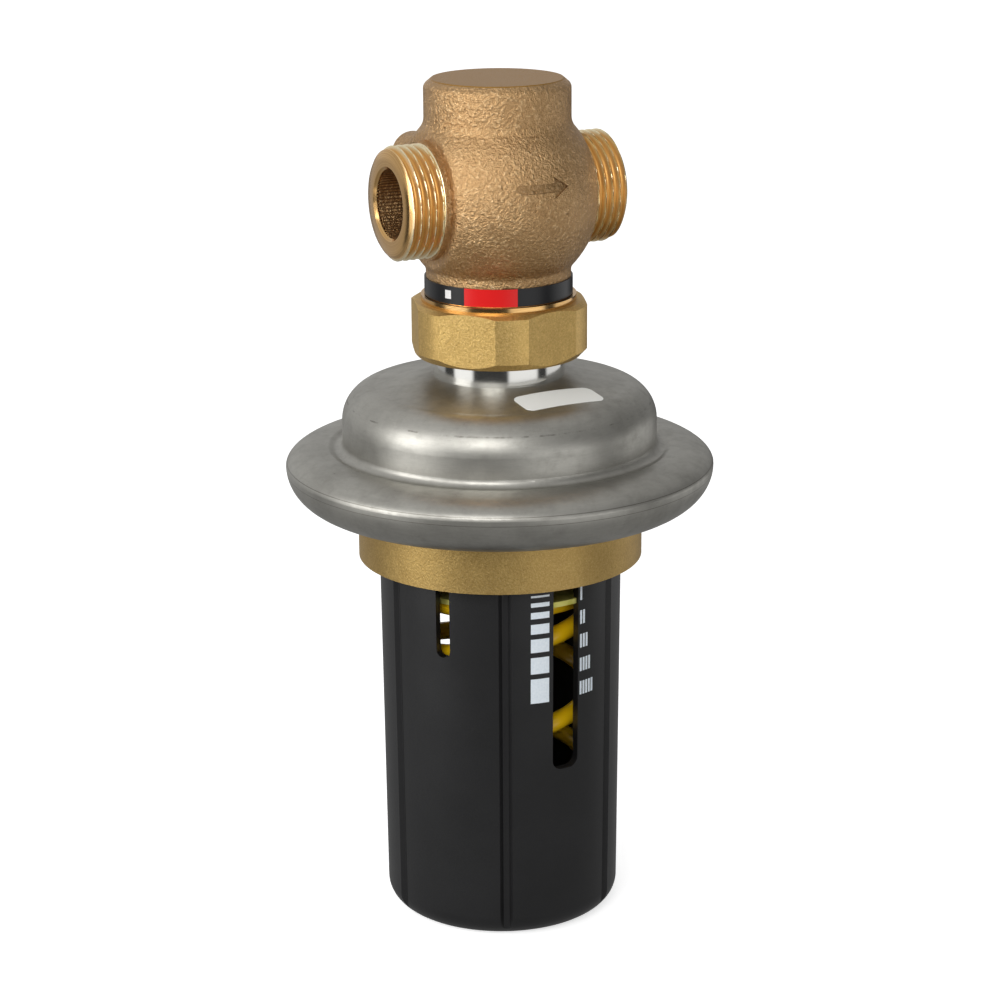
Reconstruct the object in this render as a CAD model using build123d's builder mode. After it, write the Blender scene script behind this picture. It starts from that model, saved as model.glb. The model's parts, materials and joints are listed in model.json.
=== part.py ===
from build123d import *
import math
import os

# Self-acting differential pressure controller for heating water.
# A sand-cast bronze valve body stands on top, joined by a union nut to a pressed steel diaphragm
# casing. Below the casing a ribbed handle turns on a brass hub and drives a screw that loads the
# setting spring. The spring pulls the stem down and opens the valve, and the diaphragm closes it.
# Millimetres. The origin is the middle of the handle's flat base, +Z is up along the stem, and
# water flows along +X.

os.makedirs("parts", exist_ok=True)

# Driving dimensions: handle
handle_height = 117.5
handle_base_r = 35.5
handle_taper = 1.05
handle_wall = 2.6
handle_floor = 3.0
handle_base_round = 6.8
handle_floor_round = 4.0
handle_gap = 0.5
lip_height = 4.1
panel_count = 6
panel_angle = -83.5
channel_width = 4.0
channel_floor = 1.7
channel_depth = 1.3
channel_round = 0.35
window_width = 8.8
window_depth = 64.1
window_round = 3.0
notch_width = 4.5
notch_depth = 28.4
notch_round = 2.2
flare_r = 3.2
flare_depth = 1.7
past = 1.0

# Driving dimensions: lower casing with its ring, hub and impulse port
ring_gap = 1.95
ring_wall = 4.25
ring_height = 18.5
skirt_depth = 5.9
casing_floor = 10.0
dome_play = 3.0
chamber_inset = 4.5
chamber_wall = 3.25
chamber_step = 2.6
lip_reach = 4.05
hub_lip = 0.8
flange_height = 11.4
clamp_inset = 6.55
impulse_r = 4.3
impulse_depth = 12.0
drilling_r = 1.5

# Driving dimensions: upper casing, pressed from sheet and rolled round the flange
sheet = 2.0
dome_height = 21.2
dome_rise = 3.2
shoulder_width = 9.8
shoulder_height = 10.45
foot_round = 2.4
rim_r = 64.05
rim_reach = 17.05
rim_width = 12.7
rim_over = 5.5
rim_under = 12.0
rim_crown = 0.8
groove_drop = 0.6

# Driving dimensions: diaphragm and its plates
diaphragm_sheet = 1.2
plate_sheet = 3.0
plate_round = 0.9
plate_room = 0.2
diaphragm_drop = 2.6
loop_width = 6.3
loop_drop = 2.6
stem_hole_room = 0.3

# Driving dimensions: stem, nuts and guides
stroke = 5.0
stem_r = 5.0
shaft_gap = 0.05
touch_gap = 0.1
rest_gap = 0.3
stem_foot = 4.0
thread_end = 0.6
lock_nut_flats = 17.0
lock_nut_height = 5.4
stem_collar_r = 9.0
diaphragm_nut_height = 6.0
head_room = 1.85
socket_depth = 3.0
drain_r = 1.0
drain_below = 1.3
drain_above = 2.4
valve_stem_r = 3.0
seal_section = 2.0
bush_length = 7.8
bush_stop = 1.0

# Driving dimensions: setting screw, spring and plates
tube_r = 11.0
tube_bore_r = 7.0
setting_travel = 30.0
tube_below = 1.9
tube_flange_r = 14.0
tube_flange = 3.0
ring_plate = 1.8
ring_plate_cover = 3.1
ring_seat_depth = 1.9
ring_split = 6.0
washer_sheet = 0.9
plate_drop = 12.0
indicator_sheet = 1.6
indicator_gap = 0.3
tab_length = 3.0
tab_gap = 0.2
setting_nut_flats = 30.0
setting_nut_height = 10.0
setting_nut_flange = 2.0
setting_nut_flange_r = 18.0
wire_d = 5.6
spring_pitch = 27.5
spring_turn_at = -80.8
spring_turn_drop = 12.0
ground_depth = 0.6
dead_coil = 270.0
foot_plate_gap = 1.4
foot_plate_edge = 4.0
foot_plate_sheet = 2.5
foot_boss = 2.0
foot_boss_gap = 0.5

# Driving dimensions: neck of the actuator and union nut
neck_r = 19.5
neck_length = 12.4
neck_flange_r = 23.0
neck_flange = 4.1
neck_wall = 6.0
neck_pocket_r = 13.0
gasket_sheet = 1.5
gasket_bore_r = 14.0
nut_flats = 50.0
nut_corner_r = 26.5
nut_turn = -107.2
nut_lip = 3.1
nut_lip_gap = 0.1
nut_top_slope = 1.0
nut_top_r = 24.9
nut_foot_slope = 2.2
nut_foot_r = 24.4
snap_wire_r = 1.2
snap_split = 8.0
snap_room = 0.5

# Driving dimensions: valve body
port_face = 35.0
port_thread_r = 16.625
port_bore_r = 10.0
port_collar_r = 17.3
port_collar_end = 24.2
port_chamfer = 2.0
port_chamfer_length = 1.3
bore_chamfer = 0.8
port_height = 39.7
bulb_r = 30.0
bulb_flat = 22.5
bulb_flat_round = 2.5
cavity_r = 25.5
body_neck_r = 21.4
body_thread_r = 20.95
body_thread = 8.8
body_thread_chamfer = 0.8
body_collar_r = 23.0
body_collar = 1.7
cap_r = 21.5
cap_height = 34.1
cap_slope_width = 2.3
cap_slope_drop = 1.9
cap_round = 2.0
cap_seam_round = 5.0
neck_seam_round = 3.0
cap_wall = 5.0
web = 6.0
web_lift = 1.0
web_flat = 15.5
web_leg = 3.6
web_leg_run = 9.0
web_leg_fall = 13.5
tap_x = -13.5
tap_height = 8.6
tap_r = 6.6
tap_reach = 32.0
tap_depth = 9.0
tap_round = 1.0
arrow_lift = 6.15
arrow_tail = 6.6
arrow_barbs = 4.0
arrow_tip = 8.8
arrow_width = 2.6
arrow_head = 6.1
arrow_depth = 0.4
band_gap = 0.2
band_height = 5.2
band_sheet = 0.5

# Driving dimensions: valve trim
insert_r = 15.0
insert_flange_r = 18.0
insert_flange = 3.0
insert_height = 24.5
insert_pocket_r = 8.0
insert_pocket = 5.5
insert_guide = 7.0
insert_drain_r = 0.8
insert_drain_at = 12.0
piston_seal_drop = 1.6
piston_r = 8.95
piston_length = 12.0
cone_r = 11.0
cone_height = 3.6
cone_seal_sheet = 1.0
skirt_wall = 1.5
skirt_height = 5.9
skirt_port = 5.0
seat_r = 12.0
seat_bore_r = 9.0
seat_lip = 0.5
cone_nut_flats = 9.0
cone_nut_height = 3.0

# Radii worked out from the driving dimensions, from the handle outwards
handle_top_r = handle_base_r + handle_taper
handle_bore_r = handle_base_r - handle_wall
hub_r = handle_top_r - handle_wall - lip_reach
ring_bore_r = handle_top_r + ring_gap
ring_r = ring_bore_r + ring_wall
ring_plate_r = hub_r + ring_plate_cover
ring_seat_r = hub_r - ring_seat_depth
indicator_r = handle_bore_r - indicator_gap
tab_reach = indicator_r + tab_length
foot_plate_r = handle_bore_r - foot_plate_gap
spring_mean_r = foot_plate_r - foot_plate_edge
dome_r = rim_r - rim_reach
clamp_r = rim_r - clamp_inset
chamber_r = dome_r - dome_play
chamber_foot_r = min(chamber_r - chamber_inset, ring_r - chamber_wall)

# Heights worked out from the driving dimensions, from the base up
z_floor = handle_height + handle_gap
z_ring = z_floor - skirt_depth
z_chamber = z_floor + casing_floor
z_flange = z_ring + ring_height
z_clamp = z_flange + flange_height
z_roof = z_clamp + diaphragm_sheet
z_shoulder = z_roof + dome_height
z_dome = z_shoulder + dome_rise
z_neck = z_dome + neck_length
z_body = z_neck + gasket_sheet
z_collar = z_body + body_thread
z_band = z_collar + body_collar
z_port = z_body + port_height
z_cap = z_port + cap_height

# Heights of the inner pieces
z_lip = handle_height - lip_height
z_washer = z_lip - touch_gap - washer_sheet
z_ring_plate = z_washer - ring_plate
z_hub = z_ring_plate - hub_lip
z_indicator = z_floor - plate_drop
z_spring_top = z_indicator - indicator_sheet
z_tube = z_indicator - setting_nut_height - setting_travel - tube_below
z_stop = z_chamber + rest_gap
z_diaphragm = z_clamp - diaphragm_drop
z_foot_plate = stem_foot + thread_end + lock_nut_height
z_spring_foot = z_foot_plate + foot_plate_sheet
z_web = z_port - web_lift
z_seat = z_web - web / 2 - seat_lip
z_cone_seal = z_seat - stroke - touch_gap - cone_seal_sheet
z_cone = z_cone_seal - cone_height
z_piston = z_cone - piston_length


def ring(inner_r, outer_r, low, high):
    """Adds the section of a turned ring to the profile being drawn, with z as the sketch's y."""
    with Locations(((inner_r + outer_r) / 2, (low + high) / 2)):
        Rectangle(outer_r - inner_r, high - low)


def o_ring(inner_r, outer_r, low):
    """A round-section seal that stands on a height, between two radii."""
    section_r = (outer_r - inner_r) / 2
    with BuildPart() as seal:
        with BuildSketch(Plane.XZ):
            with Locations((inner_r + section_r, low + section_r)):
                Circle(section_r)
        revolve(axis=Axis.Z)
    return seal.part


def outwards(angle):
    """The level unit vector that points away from the axis at an angle."""
    return Vector(math.cos(math.radians(angle)), math.sin(math.radians(angle)), 0)


def wall_r(height):
    """The handle's outer radius at a height."""
    return handle_base_r + handle_taper * height / handle_height


# Handle: a tapered cup with six ribbed panels, two setting windows and two notches
wall_lean = math.atan(handle_taper / handle_height)
channel_length = (handle_height + 2 * past) / math.cos(wall_lean)
panel_step = 360 / panel_count
channel_angles = [panel_angle + panel_step * (k + 0.5) for k in range(panel_count)]
window_angles = [panel_angle, panel_angle + 180]
notch_angles = [angle - panel_step for angle in window_angles]

with BuildPart() as handle:
    with BuildSketch(Plane.XZ) as cup:
        with BuildLine():
            Polyline(
                (0, 0),
                (handle_base_r, 0),
                (handle_top_r, handle_height),
                (hub_r + rest_gap, handle_height),
                (hub_r + rest_gap, z_lip),
                (wall_r(z_lip) - handle_wall, z_lip),
                (handle_bore_r, handle_floor),
                (0, handle_floor),
                close=True,
            )
        make_face()
        fillet(cup.vertices().sort_by_distance((handle_base_r, 0, 0))[0], handle_base_round)
        floor_corner = (handle_bore_r, handle_floor, 0)
        fillet(cup.vertices().sort_by_distance(floor_corner)[0], handle_floor_round)
    revolve(axis=Axis.Z)
    for angle in channel_angles:
        out = outwards(angle)
        along = out.rotate(Axis.Z, 90)
        up = Vector(0, 0, math.cos(wall_lean)) + out * math.sin(wall_lean)
        foot = out * wall_r(-past) - Vector(0, 0, past)
        with BuildSketch(Plane(origin=foot, x_dir=along, z_dir=up)) as groove:
            with BuildLine():
                Polyline(
                    (-channel_width / 2, -past),
                    (channel_width / 2, -past),
                    (channel_width / 2, 0),
                    (channel_floor / 2, channel_depth),
                    (-channel_floor / 2, channel_depth),
                    (-channel_width / 2, 0),
                    close=True,
                )
            make_face()
            fillet(groove.vertices().group_by(Axis.Y)[-1], channel_round)
        extrude(amount=channel_length, mode=Mode.SUBTRACT)
        with Locations(out * (wall_r(z_ring) + flare_r - flare_depth) + Vector(0, 0, z_ring)):
            Sphere(flare_r, mode=Mode.SUBTRACT)
    for angles, width, depth, corner in (
        (window_angles, window_width, window_depth, window_round),
        (notch_angles, notch_width, notch_depth, notch_round),
    ):
        for angle in angles:
            out = outwards(angle)
            side = Plane(origin=(0, 0, 0), x_dir=out.rotate(Axis.Z, 90), z_dir=out)
            with BuildSketch(side) as slot:
                with Locations((0, handle_height - (depth - past) / 2)):
                    Rectangle(width, depth + past)
                fillet(slot.vertices().group_by(Axis.Y)[0], corner)
            extrude(amount=handle_top_r + past, mode=Mode.SUBTRACT)
handle.part.label = "handle"
export_step(handle.part, "parts/handle.step")

# Lower casing: a turned brass body with the clamping flange, the chamber and the handle's hub
roll_x = rim_r - rim_width
z_roll = z_roof + sheet + rim_crown - rim_over
roll_inner = rim_width - sheet
with BuildPart() as lower_casing:
    with BuildSketch(Plane.XZ):
        with BuildLine():
            edge = roll_inner - touch_gap
            over = rim_over - sheet - touch_gap
            under = z_roll - z_flange
            reach = math.degrees(math.asin((z_clamp - z_roll) / over))
            lower_arc = EllipticalCenterArc((roll_x, z_roll), edge, under, start_angle=-90, arc_size=90)
            upper_arc = EllipticalCenterArc((roll_x, z_roll), edge, over, start_angle=0, arc_size=reach)
            Polyline(
                upper_arc @ 1,
                (chamber_r, z_clamp),
                (chamber_r, z_flange + chamber_step),
                (chamber_foot_r, z_flange + chamber_step),
                (chamber_foot_r, z_chamber),
                (0, z_chamber),
                (0, z_hub),
                (hub_r, z_hub),
                (hub_r, z_floor),
                (ring_bore_r, z_floor),
                (ring_bore_r, z_ring),
                (ring_r, z_ring),
                (ring_r, z_flange),
                lower_arc @ 0,
            )
        make_face()
    revolve(axis=Axis.Z)
    with BuildSketch(Plane.XZ):
        ring(0, tube_r, z_hub, z_chamber)
        ring(0, tube_flange_r, z_chamber - tube_flange, z_chamber)
        ring(ring_seat_r, hub_r, z_ring_plate, z_washer)
    revolve(axis=Axis.Z, mode=Mode.SUBTRACT)
    z_impulse = z_floor + casing_floor / 2
    with BuildSketch(Plane.XZ.offset(-ring_r - past)):
        with Locations((0, z_impulse)):
            Circle(impulse_r)
    extrude(amount=impulse_depth + past, mode=Mode.SUBTRACT)
    with BuildSketch(Plane.XY.offset(z_impulse)):
        with Locations((0, ring_r - impulse_depth + impulse_r)):
            Circle(drilling_r)
    extrude(amount=z_chamber - z_impulse + past, mode=Mode.SUBTRACT)
lower_casing.part.label = "lower_casing"
export_step(lower_casing.part, "parts/lower_casing.step")

# Upper casing: a dome pressed from one sheet, its edge rolled over and under the flange
dome_side = z_shoulder - shoulder_height
z_groove = z_roll + rim_over - groove_drop
with BuildPart() as upper_casing:
    with BuildSketch(Plane.XZ):
        with BuildLine():
            shoulder_x = dome_r - shoulder_width
            outer_shoulder = EllipticalCenterArc(
                (shoulder_x, dome_side), shoulder_width, shoulder_height, start_angle=90, arc_size=-90
            )
            Line((neck_r, z_dome), outer_shoulder @ 0)
            foot_x = dome_r + foot_round
            foot = CenterArc((foot_x, z_groove + foot_round), foot_round, 180, 90)
            Line(outer_shoulder @ 1, foot @ 0)
            Spline(foot @ 1, (roll_x, z_roll + rim_over), tangents=((1, 0), (1, 0)))
            EllipticalCenterArc((roll_x, z_roll), rim_width, rim_over, start_angle=90, arc_size=-90)
            rim_foot = EllipticalCenterArc(
                (roll_x, z_roll), rim_width, rim_under, start_angle=0, arc_size=-90
            )
            roof = math.degrees(math.asin((z_roof - z_roll) / (rim_over - sheet)))
            inner_foot = EllipticalCenterArc(
                (roll_x, z_roll), roll_inner, rim_under - sheet, start_angle=-90, arc_size=90
            )
            inner_top = EllipticalCenterArc(
                (roll_x, z_roll), roll_inner, rim_over - sheet, start_angle=0, arc_size=roof
            )
            Line(rim_foot @ 1, inner_foot @ 0)
            inner_corner = CenterArc(
                (dome_r - sheet + foot_round, z_roof + foot_round), foot_round, 270, -90
            )
            Line(inner_top @ 1, inner_corner @ 0)
            inner_shoulder = EllipticalCenterArc(
                (shoulder_x, dome_side),
                shoulder_width - sheet,
                shoulder_height - sheet,
                start_angle=0,
                arc_size=90,
            )
            Line(inner_corner @ 1, inner_shoulder @ 0)
            Polyline(inner_shoulder @ 1, (neck_r, z_dome - sheet), (neck_r, z_dome))
        make_face()
    revolve(axis=Axis.Z)
upper_casing.part.label = "upper_casing"
export_step(upper_casing.part, "parts/upper_casing.step")

# Diaphragm: a moulded rubber disc with one rolling loop, clamped at its rim and its middle
loop_outer_x = chamber_r - plate_room
loop_inner_x = loop_outer_x - loop_width
loop_x = (loop_outer_x + loop_inner_x) / 2
z_loop = z_diaphragm - loop_drop
diaphragm_top = z_diaphragm + diaphragm_sheet
with BuildPart() as diaphragm:
    with BuildSketch(Plane.XZ):
        ring(stem_r + stem_hole_room, loop_inner_x + diaphragm_sheet, z_diaphragm, diaphragm_top)
        ring(loop_inner_x, loop_inner_x + diaphragm_sheet, z_loop, diaphragm_top)
        ring(loop_outer_x - diaphragm_sheet, loop_outer_x, z_loop, z_roof)
        ring(loop_outer_x - diaphragm_sheet, clamp_r, z_clamp, z_roof)
        with Locations((loop_x, z_loop)):
            Circle(loop_width / 2)
            Circle(loop_width / 2 - diaphragm_sheet, mode=Mode.SUBTRACT)
        with Locations((loop_x, z_loop + loop_width / 2)):
            Rectangle(loop_width - 2 * diaphragm_sheet, loop_width, mode=Mode.SUBTRACT)
    revolve(axis=Axis.Z)
diaphragm.part.label = "diaphragm"
export_step(diaphragm.part, "parts/diaphragm.step")

# Diaphragm plates: two pressed discs that grip the middle of the diaphragm
plate_r = loop_inner_x - plate_room
with BuildPart() as lower_diaphragm_plate:
    with BuildSketch(Plane.XZ):
        ring(stem_r, plate_r, z_diaphragm - plate_sheet, z_diaphragm)
    revolve(axis=Axis.Z)
    rims = lower_diaphragm_plate.edges().filter_by(GeomType.CIRCLE).sort_by(SortBy.RADIUS)[-2:]
    fillet(rims, plate_round)
lower_diaphragm_plate.part.label = "lower_diaphragm_plate"
export_step(lower_diaphragm_plate.part, "parts/lower_diaphragm_plate.step")

with BuildPart() as upper_diaphragm_plate:
    with BuildSketch(Plane.XZ):
        ring(stem_r, plate_r, diaphragm_top, diaphragm_top + plate_sheet)
    revolve(axis=Axis.Z)
    rims = upper_diaphragm_plate.edges().filter_by(GeomType.CIRCLE).sort_by(SortBy.RADIUS)[-2:]
    fillet(rims, plate_round)
upper_diaphragm_plate.part.label = "upper_diaphragm_plate"
export_step(upper_diaphragm_plate.part, "parts/upper_diaphragm_plate.step")

# Stem: one turned rod from the foot plate to the union, drilled to lead the outlet's pressure down
z_plates = diaphragm_top + plate_sheet
z_collar_top = z_diaphragm - plate_sheet
z_stem_head = z_neck - stroke - head_room
z_socket = z_stem_head - socket_depth
z_drain_foot = z_plates + diaphragm_nut_height + drain_above
with BuildPart() as actuator_stem:
    with BuildSketch(Plane.XZ):
        ring(0, stem_r, stem_foot, z_socket)
        ring(valve_stem_r, stem_r, z_socket, z_stem_head)
        ring(stem_r, stem_collar_r, z_stop, z_collar_top)
    revolve(axis=Axis.Z)
    with BuildSketch(Plane.XY.offset(z_drain_foot)):
        Circle(drain_r)
    extrude(amount=z_socket - z_drain_foot, mode=Mode.SUBTRACT)
    with BuildSketch(Plane.YZ):
        with Locations((0, z_drain_foot), (0, z_socket - drain_below)):
            Circle(drain_r)
    extrude(amount=stem_r + past, both=True, mode=Mode.SUBTRACT)
actuator_stem.part.label = "actuator_stem"
export_step(actuator_stem.part, "parts/actuator_stem.step")

with BuildPart() as diaphragm_nut:
    with BuildSketch(Plane.XY.offset(z_plates)):
        RegularPolygon(lock_nut_flats / 2, 6, major_radius=False)
        Circle(stem_r, mode=Mode.SUBTRACT)
    extrude(amount=diaphragm_nut_height)
diaphragm_nut.part.label = "diaphragm_nut"
export_step(diaphragm_nut.part, "parts/diaphragm_nut.step")

with BuildPart() as stem_lock_nut:
    with BuildSketch(Plane.XY.offset(z_foot_plate - lock_nut_height)):
        RegularPolygon(lock_nut_flats / 2, 6, major_radius=False)
        Circle(stem_r, mode=Mode.SUBTRACT)
    extrude(amount=lock_nut_height)
stem_lock_nut.part.label = "stem_lock_nut"
export_step(stem_lock_nut.part, "parts/stem_lock_nut.step")

# Foot plate: carries the lower end of the spring and centres it on a raised boss
with BuildPart() as lower_spring_plate:
    with BuildSketch(Plane.XZ):
        ring(stem_r, foot_plate_r, z_foot_plate, z_spring_foot)
        boss_r = spring_mean_r - wire_d / 2 - foot_boss_gap
        ring(stem_r, boss_r, z_spring_foot, z_spring_foot + foot_boss)
    revolve(axis=Axis.Z)
lower_spring_plate.part.label = "lower_spring_plate"
export_step(lower_spring_plate.part, "parts/lower_spring_plate.step")

# Setting spring: an open helix with one closed coil, ground flat, at each end
z_coil_foot = z_spring_foot + wire_d / 2 - ground_depth
z_coil_top = z_spring_top - wire_d / 2 + ground_depth
z_coil_seen = z_spring_top - spring_turn_drop
helix_height = z_coil_top - z_coil_foot
foot_angle = spring_turn_at - 360 * (z_coil_seen - z_coil_foot) / spring_pitch
head_angle = foot_angle + 360 * helix_height / spring_pitch
with BuildPart() as setting_spring:
    start = Plane(origin=(0, 0, z_coil_foot), x_dir=outwards(foot_angle), z_dir=(0, 0, 1))
    with BuildLine(start) as coil:
        Helix(spring_pitch, helix_height, spring_mean_r)
    with BuildSketch(Plane(origin=coil.line @ 0, z_dir=coil.line % 0)):
        Circle(wire_d / 2)
    sweep(path=coil.line)
    for height, angle, way in ((z_coil_foot, foot_angle, -1), (z_coil_top, head_angle, 1)):
        out = outwards(angle)
        end = out * spring_mean_r + Vector(0, 0, height)
        with BuildSketch(Plane(origin=end, x_dir=out, z_dir=out.rotate(Axis.Z, 90))):
            Circle(wire_d / 2)
        revolve(axis=Axis((0, 0, 0), (0, 0, way)), revolution_arc=dead_coil)
    with Locations((0, 0, z_spring_foot - wire_d / 2), (0, 0, z_spring_top + wire_d / 2)):
        Cylinder(spring_mean_r + wire_d, wire_d, mode=Mode.SUBTRACT)
setting_spring.part.label = "setting_spring"
export_step(setting_spring.part, "parts/setting_spring.step")

# Indicator plate: a steel disc with two tabs that show in the windows as the setting mark
with BuildPart() as indicator_plate:
    with BuildSketch(Plane.XY.offset(z_spring_top)):
        Circle(indicator_r)
        with PolarLocations(0, 2, start_angle=panel_angle):
            Rectangle(2 * tab_reach, window_width - 2 * tab_gap)
        Circle(tab_reach, mode=Mode.INTERSECT)
        RegularPolygon(setting_nut_flats / 2, 6, major_radius=False, mode=Mode.SUBTRACT)
    extrude(amount=indicator_sheet)
indicator_plate.part.label = "indicator_plate"
export_step(indicator_plate.part, "parts/indicator_plate.step")

# Setting nut: a brass hexagon nut that screws down the tube and pushes the plate before it
with BuildPart() as setting_nut:
    with BuildSketch(Plane.XY.offset(z_indicator)):
        RegularPolygon(setting_nut_flats / 2, 6, major_radius=False)
    extrude(amount=-setting_nut_height)
    with BuildSketch(Plane.XY.offset(z_indicator)):
        Circle(setting_nut_flange_r)
    extrude(amount=setting_nut_flange)
    with BuildSketch(Plane.XY.offset(z_indicator - setting_nut_height)):
        Circle(tube_r + shaft_gap)
    extrude(amount=setting_nut_height + setting_nut_flange, mode=Mode.SUBTRACT)
setting_nut.part.label = "setting_nut"
export_step(setting_nut.part, "parts/setting_nut.step")

# Setting tube: the fixed screw, with the stem's bush and seal in its upper end
z_bush_top = z_chamber - tube_flange - bush_stop
z_seal_foot = z_bush_top - seal_section
with BuildPart() as setting_tube:
    with BuildSketch(Plane.XZ):
        ring(tube_bore_r, tube_r, z_tube, z_bush_top)
        ring(stem_r + shaft_gap, tube_r, z_bush_top, z_chamber)
        ring(tube_r, tube_flange_r, z_chamber - tube_flange, z_chamber)
    revolve(axis=Axis.Z)
setting_tube.part.label = "setting_tube"
export_step(setting_tube.part, "parts/setting_tube.step")

with BuildPart() as stem_bush:
    with BuildSketch(Plane.XZ):
        ring(stem_r + shaft_gap, tube_bore_r, z_seal_foot - bush_length, z_seal_foot)
    revolve(axis=Axis.Z)
stem_bush.part.label = "stem_bush"
export_step(stem_bush.part, "parts/stem_bush.step")

stem_seal = o_ring(stem_r + shaft_gap, tube_bore_r, z_seal_foot)
stem_seal.label = "stem_seal"
export_step(stem_seal, "parts/stem_seal.step")

# Handle retainer: a split steel ring in the hub's groove, under a plastic slip washer
with BuildPart() as handle_retainer:
    with BuildSketch(Plane.XY.offset(z_ring_plate)):
        Circle(ring_plate_r)
        Circle(ring_seat_r, mode=Mode.SUBTRACT)
        with Locations(outwards(panel_angle + 90) * ring_seat_r):
            Rectangle(3 * (ring_plate_r - ring_seat_r), ring_split, mode=Mode.SUBTRACT)
    extrude(amount=ring_plate)
handle_retainer.part.label = "handle_retainer"
export_step(handle_retainer.part, "parts/handle_retainer.step")

with BuildPart() as slip_washer:
    with BuildSketch(Plane.XZ):
        ring(hub_r + rest_gap, ring_plate_r, z_washer, z_washer + washer_sheet)
    revolve(axis=Axis.Z)
slip_washer.part.label = "slip_washer"
export_step(slip_washer.part, "parts/slip_washer.step")

# Actuator neck: a stainless stub through the top of the dome, with the upper stem seal
z_neck_floor = z_dome - sheet - neck_flange
z_pocket = z_neck_floor + neck_wall
z_groove_low = z_neck_floor + (neck_wall - seal_section) / 2
z_snap = z_neck - snap_wire_r - snap_room
dome_slope = (z_dome - z_shoulder) / (shoulder_x - neck_r)
with BuildPart() as actuator_neck:
    with BuildSketch(Plane.XZ):
        with BuildLine():
            Polyline(
                (stem_r + shaft_gap, z_neck_floor),
                (neck_flange_r, z_neck_floor),
                (neck_flange_r, z_dome - sheet - dome_slope * (neck_flange_r - neck_r) - touch_gap),
                (neck_r, z_dome - sheet - touch_gap),
                (neck_r, z_neck),
                (neck_pocket_r, z_neck),
                (neck_pocket_r, z_pocket),
                (stem_r + shaft_gap, z_pocket),
                close=True,
            )
        make_face()
        with Locations((stem_r, z_groove_low + seal_section / 2)):
            Rectangle(2 * seal_section, seal_section, mode=Mode.SUBTRACT)
        with Locations((neck_r, z_snap)):
            Circle(snap_wire_r, mode=Mode.SUBTRACT)
    revolve(axis=Axis.Z)
actuator_neck.part.label = "actuator_neck"
export_step(actuator_neck.part, "parts/actuator_neck.step")

neck_seal = o_ring(stem_r + shaft_gap, stem_r + seal_section, z_groove_low)
neck_seal.label = "neck_seal"
export_step(neck_seal, "parts/neck_seal.step")

with BuildPart() as snap_ring:
    with BuildSketch(Plane.XZ):
        with Locations((neck_r, z_snap)):
            Circle(snap_wire_r)
    revolve(axis=Axis.Z)
    with Locations(outwards(nut_turn + 180) * neck_r + Vector(0, 0, z_snap)):
        Box(snap_split, snap_split, 3 * snap_wire_r, mode=Mode.SUBTRACT)
snap_ring.part.label = "snap_ring"
export_step(snap_ring.part, "parts/snap_ring.step")

with BuildPart() as union_gasket:
    with BuildSketch(Plane.XZ):
        ring(gasket_bore_r, neck_r, z_neck, z_body)
    revolve(axis=Axis.Z)
union_gasket.part.label = "union_gasket"
export_step(union_gasket.part, "parts/union_gasket.step")

# Union nut: a brass hexagon with turned corners, a chamfer on top and a deep one below
z_nut = z_snap - snap_wire_r - nut_lip - nut_lip_gap
nut_r = nut_flats / 2
with BuildPart() as union_nut:
    with BuildSketch(Plane.XZ):
        with BuildLine():
            Polyline(
                (0, z_nut),
                (nut_foot_r, z_nut),
                (nut_corner_r, z_nut + nut_foot_slope),
                (nut_corner_r, z_collar - nut_top_slope),
                (nut_top_r, z_collar),
                (0, z_collar),
                close=True,
            )
        make_face()
    revolve(axis=Axis.Z)
    with BuildSketch(Plane.XY.offset(z_nut)):
        RegularPolygon(nut_r, 6, major_radius=False, rotation=nut_turn)
    extrude(amount=z_collar - z_nut, mode=Mode.INTERSECT)
    with BuildSketch(Plane.XZ):
        ring(0, neck_r + shaft_gap, z_nut, z_collar)
        ring(0, neck_r + snap_wire_r + touch_gap, z_nut + nut_lip, z_collar)
        ring(0, body_thread_r + shaft_gap, z_body - touch_gap, z_collar)
    revolve(axis=Axis.Z, mode=Mode.SUBTRACT)
union_nut.part.label = "union_nut"
export_step(union_nut.part, "parts/union_nut.step")

# Valve body, inside: a round chamber split by a partition that carries the seat
cavity_top = z_cap - cap_wall
with BuildPart() as water_way:
    with Locations((0, 0, z_port)):
        Sphere(cavity_r)
    with BuildSketch(Plane.XZ):
        ring(0, cap_r - cap_wall, z_port, cavity_top)
        ring(0, insert_r + shaft_gap, z_body, z_port - cavity_r / 2)
        ring(0, insert_flange_r + shaft_gap, z_body, z_body + insert_flange)
    revolve(axis=Axis.Z)
    with BuildSketch(Plane.XZ):
        with BuildLine():
            Polyline(
                (-web_flat, z_web + web / 2),
                (web_flat - web_leg, z_web + web / 2),
                (web_flat - web_leg + web_leg_run, z_web + web / 2 + web_leg_fall),
                (web_flat + web_leg_run, z_web + web / 2 + web_leg_fall),
                (web_flat, z_web - web / 2),
                (web_leg - web_flat, z_web - web / 2),
                (web_leg - web_flat - web_leg_run, z_web - web / 2 - web_leg_fall),
                (-web_flat - web_leg_run, z_web - web / 2 - web_leg_fall),
                close=True,
            )
        make_face()
    extrude(amount=cavity_r, both=True, mode=Mode.SUBTRACT)
    with Locations((0, 0, z_web)):
        Cylinder(seat_r, web + 2 * past)

# Flow arrow: the shallow mark sunk in the front of the bulb
with BuildPart() as flow_arrow:
    with BuildSketch(Plane(origin=(0, 0, z_port + arrow_lift), x_dir=(1, 0, 0), z_dir=(0, -1, 0))):
        with BuildLine():
            Polyline(
                (arrow_barbs, -arrow_head / 2),
                (arrow_tip, 0),
                (arrow_barbs, arrow_head / 2),
                close=True,
            )
        make_face()
        with Locations(((arrow_barbs - arrow_tail) / 2, 0)):
            Rectangle(arrow_barbs + arrow_tail, arrow_width)
        with Locations((-arrow_tail, 0)):
            Circle(arrow_width / 2)
    extrude(amount=bulb_r + past)
    with Locations((0, 0, z_port)):
        Sphere(bulb_r - arrow_depth, mode=Mode.SUBTRACT)

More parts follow.
